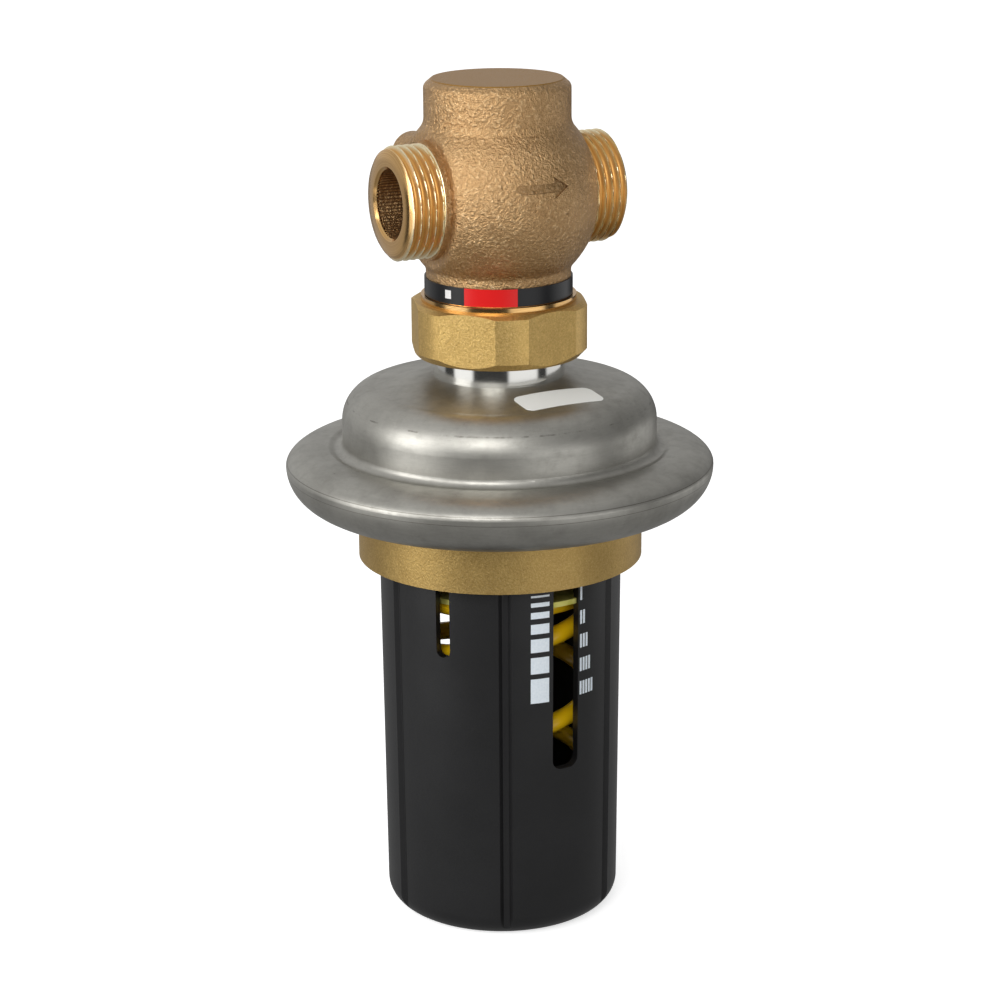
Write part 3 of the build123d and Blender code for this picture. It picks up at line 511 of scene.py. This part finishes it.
# %% [markdown]
# ## Growing a piece with Geometry Nodes
# A thread, a coil and a printed scale all follow a rule, so each is a node tree with named inputs.
# `grow()` puts a tree on a bare object, sets its inputs by the sockets' identifiers, reads the
# finished mesh back, and leaves a plain object with no modifier behind. `report()` prints how many
# faces a piece has, whether its skin is closed, and a volume that is positive when it faces
# outwards.

# %% Tree helpers
VECTOR_SIZES = ("Foot", "Turn")


def new_tree(name, sizes):
    """A Geometry Nodes tree with a mesh in, a mesh out and one named input for each size."""
    tree = bpy.data.node_groups.new(name, "GeometryNodeTree")
    tree.interface.new_socket("Geometry", in_out="INPUT", socket_type="NodeSocketGeometry")
    tree.interface.new_socket("Geometry", in_out="OUTPUT", socket_type="NodeSocketGeometry")
    for size in sizes:
        kind = "NodeSocketVector" if size in VECTOR_SIZES else "NodeSocketFloat"
        tree.interface.new_socket(size, in_out="INPUT", socket_type=kind)
    entry = tree.nodes.new("NodeGroupInput")
    return Flow(tree), {out.name: Flow(tree, out) for out in entry.outputs if out.name}


def close_tree(shape, finish):
    """Ends a tree with real geometry in one material."""
    real = shape.node("GeometryNodeRealizeInstances", inputs={0: shape})
    coated = shape.node("GeometryNodeSetMaterial", inputs={
        "Geometry": real, "Material": finish.material})
    leave = shape.tree.nodes.new("NodeGroupOutput")
    shape.tree.links.new(coated.socket, leave.inputs[0])


def grow(name, tree, sizes, mesh=None):
    """Runs a tree on an object and returns the object with the mesh that it made."""
    piece = bpy.data.objects.new(name, mesh or bpy.data.meshes.new(name))
    bpy.context.scene.collection.objects.link(piece)
    growth = piece.modifiers.new("growth", "NODES")
    growth.node_group = tree
    for item in tree.interface.items_tree:
        if item.in_out == "INPUT" and item.name in sizes:
            growth[item.identifier] = sizes[item.name]
    bpy.context.view_layer.update()
    evaluated = piece.evaluated_get(bpy.context.evaluated_depsgraph_get())
    grown = bpy.data.meshes.new_from_object(evaluated)
    piece.modifiers.clear()
    piece.data = grown
    grown.name = name
    return piece


def smooth(piece, angle=35):
    """Shades a mesh smooth, but keeps its edges sharper than an angle."""
    piece.data.shade_smooth()
    made = bmesh.new()
    made.from_mesh(piece.data)
    for edge in made.edges:
        edge.smooth = len(edge.link_faces) != 2 or edge.calc_face_angle() < math.radians(angle)
    made.to_mesh(piece.data)
    made.free()


def report(piece):
    """Prints what a mesh is made of."""
    made = bmesh.new()
    made.from_mesh(piece.data)
    open_edges = sum(not edge.is_manifold for edge in made.edges)
    print(piece.name, "faces", len(made.faces), "open edges", open_edges,
          "volume", round(made.calc_volume(signed=True) / MM ** 3, 1))
    made.free()


# %% [markdown]
# ## Cut threads
# A thread is a sleeve whose radius depends on two things: how far along it is, and how far round.
# In a sum, the ridge's phase is the distance divided by the pitch, less the turn. It could be cut
# with a swept tool, but a grid wrapped round the axis and given that radius is the whole thread,
# with its groove filled at the collar and its chamfer at the end. The grid's rows run along the
# thread, then back along the bore and home to the first row, so that the sleeve is closed. Two
# more inputs, Steep and Narrow, tell the pipe thread, with its thin crests, from the
# square-shouldered thread of the setting screw. Fill is how far from its foot the groove is still
# filled, and Hand is 1 for a right-hand thread and -1 for a left-hand one. The tree works in
# millimetres and turns to metres at its end.

# %% Thread tree
AROUND = 160  # columns of the grid
WELD = 1e-6  # metres; points closer than this become one


def thread_tree(finish):
    """The tree of a threaded sleeve along +Z, before Turn and Foot put it in its place."""
    start, size = new_tree("thread", [
        "Crest", "Root", "Bore", "Length", "Pitch", "Hand", "Steep", "Narrow", "Fill", "Chamfer",
        "Slope", "Rows", "Foot", "Turn"])
    sheet = start.node("GeometryNodeMeshGrid", inputs={
        "Size X": 1.0, "Size Y": 1.0, "Vertices X": AROUND + 1, "Vertices Y": size["Rows"] + 3})
    column, line, _ = start.node("GeometryNodeInputPosition").parts()
    turn = column + 0.5
    row = ((line + 0.5) * (size["Rows"] + 2)).rounded()
    share = (row / (size["Rows"] - 1)).at_most(1.0) * (row < size["Rows"] + 0.5)
    on_bore = row.within(size["Rows"] - 0.5, size["Rows"] + 1.5)
    along = share * size["Length"]
    phase = along / size["Pitch"] - turn * size["Hand"]
    wave = 1 - abs(phase.fraction() * 2 - 1)
    flank = ((wave - 0.5) * size["Steep"] + 0.5).at_least(0.0).at_most(1.0)
    ridge = (flank ** size["Narrow"]).at_least(1 - along / size["Fill"])
    to_end = size["Length"] - along
    rim = size["Crest"] - (size["Chamfer"] - to_end).at_least(0.0) * size["Slope"]
    skin_r = (size["Root"] + ridge * (size["Crest"] - size["Root"])).at_most(rim)
    radius = skin_r * (1 - on_bore) + size["Bore"] * on_bore
    angle = turn * math.tau
    ring = start.vector(radius * angle.cosine(), radius * angle.sine(), along)
    wrapped = start.node("GeometryNodeSetPosition", inputs={
        "Geometry": sheet, "Position": ring.scaled(MM)})
    merged = start.node("GeometryNodeMergeByDistance", inputs={
        "Geometry": wrapped, "Distance": WELD})
    placed = start.node("GeometryNodeTransform", inputs={
        "Geometry": merged, "Translation": size["Foot"], "Rotation": size["Turn"]})
    close_tree(placed, finish)
    return start.tree


# %% [markdown]
# ## The two pipe threads
# Both ports carry the same right-hand pipe thread of 11 turns to the inch. The record's mounts
# give its crest and its place, and the standard gives its pitch and depth. One tree makes both,
# because a quarter turn about Y points its axis along the pipe, to one side or the other.

# %% Pipe threads
thread = thread_tree(brass)
PIPE_PITCH = 2.309
PIPE_ROOT = PIPE_CREST - 1.479
PIPE_SLEEVE = 1.1  # the sleeve's wall under the roots
CHAMFER = 1.3
CHAMFER_SLOPE = 2.0 / CHAMFER
SHORT_BY = 0.02  # a sleeve stops this far from the end of what carries it, so no faces coincide
for name, side in (("inlet_thread", -1), ("outlet_thread", 1)):
    piece = grow(name, thread, {
        "Crest": PIPE_CREST, "Root": PIPE_ROOT, "Bore": PIPE_ROOT - PIPE_SLEEVE,
        "Length": PORT_FACE - SHORT_BY - THREAD_START, "Pitch": PIPE_PITCH, "Hand": 1.0,
        "Steep": 1.12, "Narrow": 1.9, "Fill": 1.2, "Chamfer": CHAMFER, "Slope": CHAMFER_SLOPE,
        "Rows": 96.0,
        "Foot": (side * THREAD_START * MM, 0.0, PORT_HEIGHT * MM),
        "Turn": (0.0, side * math.pi / 2, 0.0)})
    smooth(piece, 60)
    report(piece)
    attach(piece, "valve_and_casing")

# %% [markdown]
# ## The body under its threads
# The CAD body has a plain cylinder as wide as the crests, which would bury the grooves. Its mesh
# can't be changed, so a copy stands for the node: its loose triangles are joined, and the
# cylinder's points are drawn in to just under the roots. Nothing else on it moves.

# %% Body
NEAR = 0.02  # how close to a radius a point has to be to lie on it


def merged_copy(node, name):
    """A copy of a CAD node's mesh with its loose triangles joined."""
    mesh = frame["nodes"][node].data.copy()
    mesh.name = name
    made = bmesh.new()
    made.from_mesh(mesh)
    bmesh.ops.remove_doubles(made, verts=made.verts, dist=WELD)
    made.to_mesh(mesh)
    made.free()
    piece = bpy.data.objects.new(name, mesh)
    bpy.context.scene.collection.objects.link(piece)
    return piece


def drawn_in(piece, centre, axis, crest, root, start):
    """Draws a plain cylinder's points in to a smaller radius, and counts them."""
    moved = 0
    for vertex in piece.data.vertices:
        off = vertex.co - centre
        along = off[axis]
        off[axis] = 0.0
        if abs(along) > start * MM and abs(off.length - crest * MM) < NEAR * MM:
            vertex.co -= off * (1 - root / crest)
            moved += 1
    return moved


def stand_in(piece, node, finish, body_name):
    """Lets a merged copy take the place of its CAD node."""
    smooth(piece)
    report(piece)
    paint(piece, finish)
    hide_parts(node)
    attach(piece, body_name)


body = merged_copy("valve_body", "body_casting")
pipe_middle = Vector((0.0, 0.0, PORT_HEIGHT * MM))
UNDER_PIPE_ROOT = PIPE_ROOT - 0.25
print("points drawn in:",
      drawn_in(body, pipe_middle, 0, PIPE_CREST, UNDER_PIPE_ROOT, THREAD_START - 0.01))
stand_in(body, "valve_body", cast, "valve_and_casing")

# %% [markdown]
# ## The setting screw
# The setting nut travels on this coarse screw, which shows through the windows behind the spring.
# The record takes the mark down when the handle turns counter-clockwise, seen from above, so the
# thread is a left-hand one: the same tree, with Hand at -1. It hangs from its upper end, so it is
# turned over by half a turn about X, which leaves its hand as it is.

# %% Setting screw
SCREW_CREST = 11.0
SCREW_ROOT = 8.6
SCREW_SLEEVE = 0.9
UNDER_SCREW_ROOT = SCREW_ROOT - 0.3
SCREW_FOOT = low("setting_tube")
SCREW_END = low("lower_casing") + 2
tube = merged_copy("setting_tube", "setting_screw_core")
stem_middle = Vector((0.0, 0.0, 0.0))
print("points drawn in:", drawn_in(tube, stem_middle, 2, SCREW_CREST, UNDER_SCREW_ROOT, 0.0))
stand_in(tube, "setting_tube", brass, "valve_and_casing")
screw = grow("setting_screw_thread", thread, {
    "Crest": SCREW_CREST, "Root": SCREW_ROOT, "Bore": SCREW_ROOT - SCREW_SLEEVE,
    "Length": SCREW_END - SCREW_FOOT - SHORT_BY, "Pitch": 5.0, "Hand": -1.0, "Steep": 3.4,
    "Narrow": 1.0, "Fill": 0.4, "Chamfer": 1.5, "Slope": 1.0, "Rows": 260.0,
    "Foot": (0.0, 0.0, (SCREW_END - 0.01) * MM), "Turn": (math.pi, 0.0, 0.0)})
smooth(screw, 40)
report(screw)
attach(screw, "valve_and_casing")

# %% [markdown]
# ## The coil spring
# The spring pushes the stem down and the plate up, and its yellow coils are what the windows show.
# The CAD spring has the right wire and pitch, but it can't shorten when the handle winds the plate
# down, and this one doesn't shorten either. This one is a straight line bent into a helix, with dead
# turns at its ends, and a circle swept along it. `SEEN_AT` and `SEEN_DROP` say where the photo shows
# a coil: at that heading the wire is that far below the spring's top.

# %% Spring
SPRING_FOOT = low("setting_spring")
SPRING_TOP = high("setting_spring")
WIRE = 5.6
COIL_R = 27.5
PITCH = 27.5
GROUND = 0.6  # how much of the wire is ground off at each end
DEAD_TURN = 0.75
SEEN_AT = -80.8  # degrees
SEEN_DROP = 12.0
STATIONS = 420  # points along the wire


def spring_tree(finish):
    """The tree of a coil spring between two heights."""
    start, size = new_tree("spring", [
        "Wire", "Radius", "Pitch", "Low", "High", "Ground", "First", "Dead"])
    bottom = size["Low"] + size["Wire"] * 0.5 - size["Ground"]
    top = size["High"] - size["Wire"] * 0.5 + size["Ground"]
    turns = (top - bottom) / size["Pitch"]
    all_turns = turns + size["Dead"] * 2
    line = start.node("GeometryNodeCurvePrimitiveLine")
    dotted = start.node("GeometryNodeResampleCurve", inputs={"Curve": line, "Count": STATIONS})
    share = start.node("GeometryNodeSplineParameter")
    turn = share * all_turns - size["Dead"]
    climb = turn.at_least(0.0).at_most(turns) * size["Pitch"]
    angle = (turn + size["First"]) * math.tau
    path = start.vector(
        size["Radius"] * angle.cosine(), size["Radius"] * angle.sine(), bottom + climb)
    bent = start.node("GeometryNodeSetPosition", inputs={"Geometry": dotted, "Position": path})
    upright = start.node("GeometryNodeSetCurveNormal", inputs={"Curve": bent})
    section = start.node("GeometryNodeCurvePrimitiveCircle", inputs={
        "Resolution": 20, "Radius": size["Wire"] * 0.5})
    wire = start.node("GeometryNodeCurveToMesh", inputs={
        "Curve": upright, "Profile Curve": section, "Fill Caps": True})
    x, y, z = start.node("GeometryNodeInputPosition").parts()
    ground = start.vector(x, y, z.at_least(size["Low"]).at_most(size["High"]))
    done = start.node("GeometryNodeSetPosition", inputs={
        "Geometry": wire, "Position": ground.scaled(MM)})
    close_tree(done, finish)
    return start.tree


climb_to_seen = (SPRING_TOP - SEEN_DROP) - (SPRING_FOOT + WIRE / 2 - GROUND)
spring = grow("coil_spring", spring_tree(enamel), {
    "Wire": WIRE, "Radius": COIL_R, "Pitch": PITCH, "Low": SPRING_FOOT, "High": SPRING_TOP,
    "Ground": GROUND, "First": SEEN_AT / 360 - climb_to_seen / PITCH, "Dead": DEAD_TURN})
smooth(spring, 50)
report(spring)
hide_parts("setting_spring")
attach(spring, "stem_train")
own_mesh(spring)

# %% [markdown]
# ## The printed setting scale
# On both sides of each window there are printed marks: blocks that grow on the left, and groups of
# one to five bars on the right. They could be a picture on the wall, but real pads a twentieth of
# a millimetre proud stay sharp from close up. Each mark is a point with a size, and the tree puts
# a thin pad on every point and wraps them all round the tapered wall. The marks for both windows
# are the same, so the tree has the window's heading as an input.

# %% Scale tree
HANDLE_HEIGHT = high("handle")
WALL_FOOT_R = 35.5
WALL_TAPER = 1.05  # how much wider the wall is at its top
WINDOWS = {"scale_front": -83.5, "scale_back": 96.5}  # headings, in degrees


def scale_tree(finish):
    """The tree of pads on a tapered wall: X is the way round, Y the depth and Z the height."""
    start, size = new_tree("scale", ["Foot Radius", "Taper", "Height", "Heading", "Pad"])
    pad = start.node("GeometryNodeMeshCube", inputs={"Size": (1.0, 1.0, 1.0), "Vertices X": 7})
    extent = start.node("GeometryNodeInputNamedAttribute", {"data_type": "FLOAT_VECTOR"},
                        {"Name": "extent"})
    stood = start.node("GeometryNodeInstanceOnPoints", inputs={
        "Points": size["Geometry"], "Instance": pad, "Scale": extent})
    real = start.node("GeometryNodeRealizeInstances", inputs={0: stood})
    arc, depth, up = start.node("GeometryNodeInputPosition").parts()
    wall = size["Foot Radius"] + size["Taper"] * up / size["Height"]
    angle = arc / wall + size["Heading"]
    radius = wall - depth * size["Pad"]
    ring = start.vector(radius * angle.cosine(), radius * angle.sine(), up)
    wrapped = start.node("GeometryNodeSetPosition", inputs={
        "Geometry": real, "Position": ring.scaled(MM)})
    close_tree(wrapped, finish)
    return start.tree


# %% [markdown]
# ## The marks, as points with a size
# A mark is written down by its edges, because those are what can be measured: how far round the
# wall it starts and ends, from the window's middle, and its lowest and highest height. A mesh of
# bare points holds one point for each mark, and an attribute on it holds the mark's extent.

# %% Marks
BLOCK_SIDES = (-11.45, -5.72)
BLOCK_HEIGHTS = ((108.52, 109.13), (105.58, 106.88), (101.96, 103.94), (97.21, 100.25),
                 (91.47, 95.62), (84.77, 89.88), (75.55, 83.17))
BAR_SIDES = (5.1, 5.83)
BAR_STEP = 1.165
BAR_HEIGHTS = ((105.34, 109.52), (97.87, 102.13), (90.44, 94.69), (83.01, 87.22), (75.63, 79.84))
PAD_DEPTH = 1.6
PAD_SHARE = 0.06  # how much of that depth the tree keeps, so a pad is about 0.1 mm thick


def oblong_mark(first, last, bottom, top):
    """A mark from its edges: its middle's arc and height, then its width and height."""
    return ((first + last) / 2, (bottom + top) / 2, last - first, top - bottom)


scale_marks = [oblong_mark(*BLOCK_SIDES, *heights) for heights in BLOCK_HEIGHTS]
for bars, heights in enumerate(BAR_HEIGHTS, 1):
    scale_marks += [oblong_mark(*(side + BAR_STEP * n for side in BAR_SIDES), *heights)
                    for n in range(bars)]


def marks_mesh(marks):
    """A mesh of bare points, each with the extent of the mark that stands on it."""
    mesh = bpy.data.meshes.new("marks")
    mesh.from_pydata([(arc, 0.0, up) for arc, up, width, height in marks], [], [])
    extent = mesh.attributes.new("extent", "FLOAT_VECTOR", "POINT")
    extent.data.foreach_set("vector", [
        v for arc, up, width, height in marks for v in (width, PAD_DEPTH, height)])
    return mesh


scale = scale_tree(ink)
for name, window in WINDOWS.items():
    printed = grow(name, scale, {
        "Foot Radius": WALL_FOOT_R, "Taper": WALL_TAPER, "Height": HANDLE_HEIGHT,
        "Heading": math.radians(window), "Pad": PAD_SHARE}, marks_mesh(scale_marks))
    report(printed)
    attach(printed, "handle_grip")

# %% [markdown]
# ## Which way is the picture
# The sticker, the camera, the floor's reflections and the lights are all placed as the
# photographer saw them. Two level directions say where that is: toward the camera, and to the
# picture's right. `PORT_TURN` is the angle between the pipe and the picture's plane.

# %% Directions
PORT_TURN = math.radians(25.5)
toward = Vector((-math.sin(PORT_TURN), -math.cos(PORT_TURN), 0.0))
to_right = Vector((math.cos(PORT_TURN), -math.sin(PORT_TURN), 0.0))
print("the camera stands toward", [round(c, 3) for c in toward])

# %% [markdown]
# ## A sticker on the dome
# The sticker is a small oblong of paper laid on a curved sheet. A Shrinkwrap modifier could lay it
# down, but rays do it in a few lines and show how it works: its outline is drawn flat, in rings
# that shrink to its middle, and every point is dropped straight down on the casing, then lifted by
# the paper's thickness. A second skin just under the surface closes it.

# %% The sticker's points
STICKER_LONG = 26.4
STICKER_WIDE = 10.0
STICKER_CORNER = 2.4
STICKER_MIDDLE = (2.5, 29.3)  # along and across the sticker, from the stem's axis
PAPER_LIFT = 0.12
PAPER_SINK = 0.1
RINGS = 12
ABOVE_ALL = 260.0
long_way = -0.517 * toward + 0.856 * to_right
wide_way = 0.856 * toward + 0.517 * to_right


def oblong(long_side, wide_side, corner, step=10):
    """The outline of an oblong with round corners, as flat points."""
    outline = []
    for quarter, (u, v) in enumerate(((1, 1), (-1, 1), (-1, -1), (1, -1))):
        middle = Vector((u * (long_side / 2 - corner), v * (wide_side / 2 - corner)))
        for n in range(step + 1):
            angle = math.pi / 2 * (quarter + n / step)
            outline.append(middle + corner * Vector((math.cos(angle), math.sin(angle))))
        if quarter % 2 == 0:
            outline += [Vector((share * u * (long_side / 2 - corner), v * wide_side / 2))
                        for share in (0.6, 0.2, -0.2, -0.6)]
    return outline


dome = frame["nodes"]["upper_casing"].data
dome_tree = BVHTree.FromPolygons([v.co for v in dome.vertices],
                                 [p.vertices for p in dome.polygons])
outline = oblong(STICKER_LONG, STICKER_WIDE, STICKER_CORNER)
flat_points = [Vector((0.0, 0.0))]
flat_points += [p * k / RINGS for k in range(1, RINGS + 1) for p in outline]


def laid(point, lift):
    """A flat point of the sticker on the dome, lifted by some millimetres."""
    plan = (STICKER_MIDDLE[0] + point.x) * long_way + (STICKER_MIDDLE[1] + point.y) * wide_way
    down_from = Vector((plan.x, plan.y, ABOVE_ALL)) * MM
    return dome_tree.ray_cast(down_from, Vector((0, 0, -1)))[0] + Vector((0, 0, lift * MM))


print(len(outline), "points round,", len(flat_points), "on each skin")

# %% Sticker
made = bmesh.new()
skins = [[made.verts.new(laid(point, lift)) for point in flat_points]
         for lift in (PAPER_LIFT, -PAPER_SINK)]
around = len(outline)
for skin in skins:
    for n in range(around):
        after = (n + 1) % around
        made.faces.new((skin[0], skin[1 + n], skin[1 + after]))
        for ring in range(RINGS - 1):
            inner = 1 + ring * around
            outer = inner + around
            made.faces.new((skin[inner + n], skin[outer + n], skin[outer + after],
                            skin[inner + after]))
top, bottom = (skin[-around:] for skin in skins)
for n in range(around):
    after = (n + 1) % around
    made.faces.new((top[n], top[after], bottom[after], bottom[n]))
bmesh.ops.recalc_face_normals(made, faces=made.faces)
sticker_mesh = bpy.data.meshes.new("dome_sticker")
made.to_mesh(sticker_mesh)
made.free()
sticker = bpy.data.objects.new("dome_sticker", sticker_mesh)
bpy.context.scene.collection.objects.link(sticker)
smooth(sticker, 40)
paint(sticker, paper)
report(sticker)
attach(sticker, "valve_and_casing")

# %% [markdown]
# ## Camera
# The camera stands where the photographer's did: a long lens, a little above the object and turned
# so that the inlet comes forward on the left, and it leans by a third of a degree. All of these
# were fitted to the photo's outlines, most of which are circles about the stem.

# %% Camera
PITCH_DOWN = math.radians(16.61)
LEAN = math.radians(-0.38)
DISTANCE = 844.5
AIM_HEIGHT = 127.94
LENS = 100.8
SENSOR = 36.0
sight = (toward * math.cos(PITCH_DOWN) + Vector((0, 0, math.sin(PITCH_DOWN)))).normalized()
eye = Vector((0, 0, AIM_HEIGHT)) + sight * DISTANCE
camera_data = bpy.data.cameras.new("camera")
camera_data.lens = LENS
camera_data.sensor_width = SENSOR
camera_data.clip_start = 0.01
camera_data.clip_end = 50.0
camera = bpy.data.objects.new("camera", camera_data)
bpy.context.scene.collection.objects.link(camera)
leaning = sight.to_track_quat("Z", "Y") @ Matrix.Rotation(LEAN, 4, "Z").to_quaternion()
camera.rotation_euler = leaning.to_euler()
camera.location = eye * MM
bpy.context.scene.camera = camera
print("camera at", [round(c * MM, 3) for c in eye])

# %% [markdown]
# ## Floor
# Polished upright walls mirror the floor in front of them, and a white floor would wash the steel
# and the black handle out. So the floor is two things at once, chosen by a Light Path node: a
# bright sheet with a soft contact shadow for the camera, and for every other ray a dim table that
# turns dark further out, with four bright sectors there. The polished stub shows those as its
# bands. Each sector is a span of bearings round the object, in degrees, counted from the camera to
# the right.

# %% Floor
REACH = 6.0  # metres
SHEET_GLOW = 0.66
DIM = 0.3
DARKER_BY = 0.25
FAR_OUT = (370.0, 470.0)  # the table dims between these distances
BANDS = ((-155, -108, 0.4), (-84, -46, 1.3), (16, 70, 1.15), (90, 136, 0.9))
SOFT_EDGE = 3
corners = [(x * REACH, y * REACH, 0) for x, y in ((-1, -1), (1, -1), (1, 1), (-1, 1))]
floor_mesh = bpy.data.meshes.new("floor")
floor_mesh.from_pydata(corners, [], [(0, 1, 2, 3)])
floor = bpy.data.objects.new("floor", floor_mesh)
bpy.context.scene.collection.objects.link(floor)
seen = Finish("studio_floor", (0.8, 0.8, 0.8, 1.0), 1.0, 0.0, **{
    "Emission Color": (1.0, 1.0, 1.0, 1.0), "Emission Strength": SHEET_GLOW,
    "Specular IOR Level": 0.0})
toward_camera = seen.x * toward.x + seen.y * toward.y
rightward = seen.x * to_right.x + seen.y * to_right.y
bearing = rightward.angle(toward_camera) * math.degrees(1)
far_out = (toward_camera * toward_camera + rightward * rightward).root().ramp(*FAR_OUT)
sheen = DIM - DARKER_BY * far_out
for first, last, bright in BANDS:
    sector = bearing.ramp(first - SOFT_EDGE, first + SOFT_EDGE)
    sector = sector * (1 - bearing.ramp(last - SOFT_EDGE, last + SOFT_EDGE))
    sheen = sheen + sector * far_out * bright
mirrored = sheen.node("ShaderNodeEmission", inputs={
    "Color": sheen.vector(sheen, sheen, sheen), "Strength": 1.0})
by_camera = sheen.node("ShaderNodeLightPath", output="Is Camera Ray")
either = sheen.node("ShaderNodeMixShader", inputs={
    0: by_camera, 1: mirrored, 2: Flow(seen.tree, seen.shader.outputs[0])})
leave = seen.tree.nodes["Material Output"]
seen.tree.links.new(either.socket, leave.inputs["Surface"])
paint(floor, seen)
print("floor with", len(BANDS), "bright sectors")

# %% [markdown]
# ## World
# The room gives a soft light from every side, which an even grey would flatten. So the world's
# strength is a sum of directions: a little everywhere, and more overhead, behind the object, about
# the camera and on the left. Seen by the camera itself it is plain white, like the floor, so no
# horizon shows.

# %% World
world = bpy.data.worlds.new("studio")
world.use_nodes = True
sky = world.node_tree
start = Flow(sky)
east, north, climb = start.node("ShaderNodeTexCoord", output="Generated").parts()
facing_camera = east * toward.x + north * toward.y
overhead = climb.ramp(0.35, 0.9)
behind = facing_camera.ramp(-0.35, -0.9) * climb.ramp(0.75, 0.3)
about_camera = facing_camera.ramp(0.55, 0.9) * climb.ramp(0.6, 0.25)
leftward = 1 - (east * to_right.x + north * to_right.y).ramp(-0.5, 0.5)
glow = 0.22 + 0.3 * overhead + 0.16 * behind + 0.46 * about_camera + 0.3 * leftward
by_camera = start.node("ShaderNodeLightPath", output="Is Camera Ray")
start.feed(sky.nodes["Background"].inputs["Strength"], glow * (1 - by_camera) + by_camera)
start.feed(sky.nodes["Background"].inputs["Color"], (1.0, 1.0, 1.0, 1.0))
bpy.context.scene.world = world
bpy.context.scene.view_settings.view_transform = "Standard"
print("world nodes:", len(sky.nodes))

# %% [markdown]
# ## Soft lights
# Three area lights make the highlights: a tall one on the left, a weak low one on the right, and a
# strong one high up near the camera. Round lamps would show as round spots in the polished stub,
# so each is an oblong. It is placed by what it fills, seen from the object: a span of bearings in
# degrees, and a span of heights in metres.

# %% Soft lights
def softbox(name, first, last, bottom, top, distance, radiance):
    """A soft light at a distance that fills a span of bearings and a span of heights."""
    data = bpy.data.lights.new(name, "AREA")
    data.shape = "RECTANGLE"
    data.size = 2 * distance * math.tan(math.radians(last - first) / 2)
    data.size_y = top - bottom
    data.energy = radiance * math.pi * data.size * data.size_y
    lamp = bpy.data.objects.new(name, data)
    bpy.context.scene.collection.objects.link(lamp)
    out = Matrix.Rotation(math.radians((first + last) / 2), 3, "Z") @ toward
    lamp.location = out * distance + Vector((0, 0, (bottom + top) / 2))
    lamp.rotation_euler = out.to_track_quat("Z", "Y").to_euler()
    print(name, "width", round(data.size, 2), "power", round(data.energy, 1))


softbox("left_light", -80, -50, 0.1, 0.8, 1.1, 4.0)
softbox("right_light", 30, 62, 0.0, 0.35, 1.1, 0.4)
softbox("front_light", -30, 4, 0.55, 1.2, 1.2, 5.4)
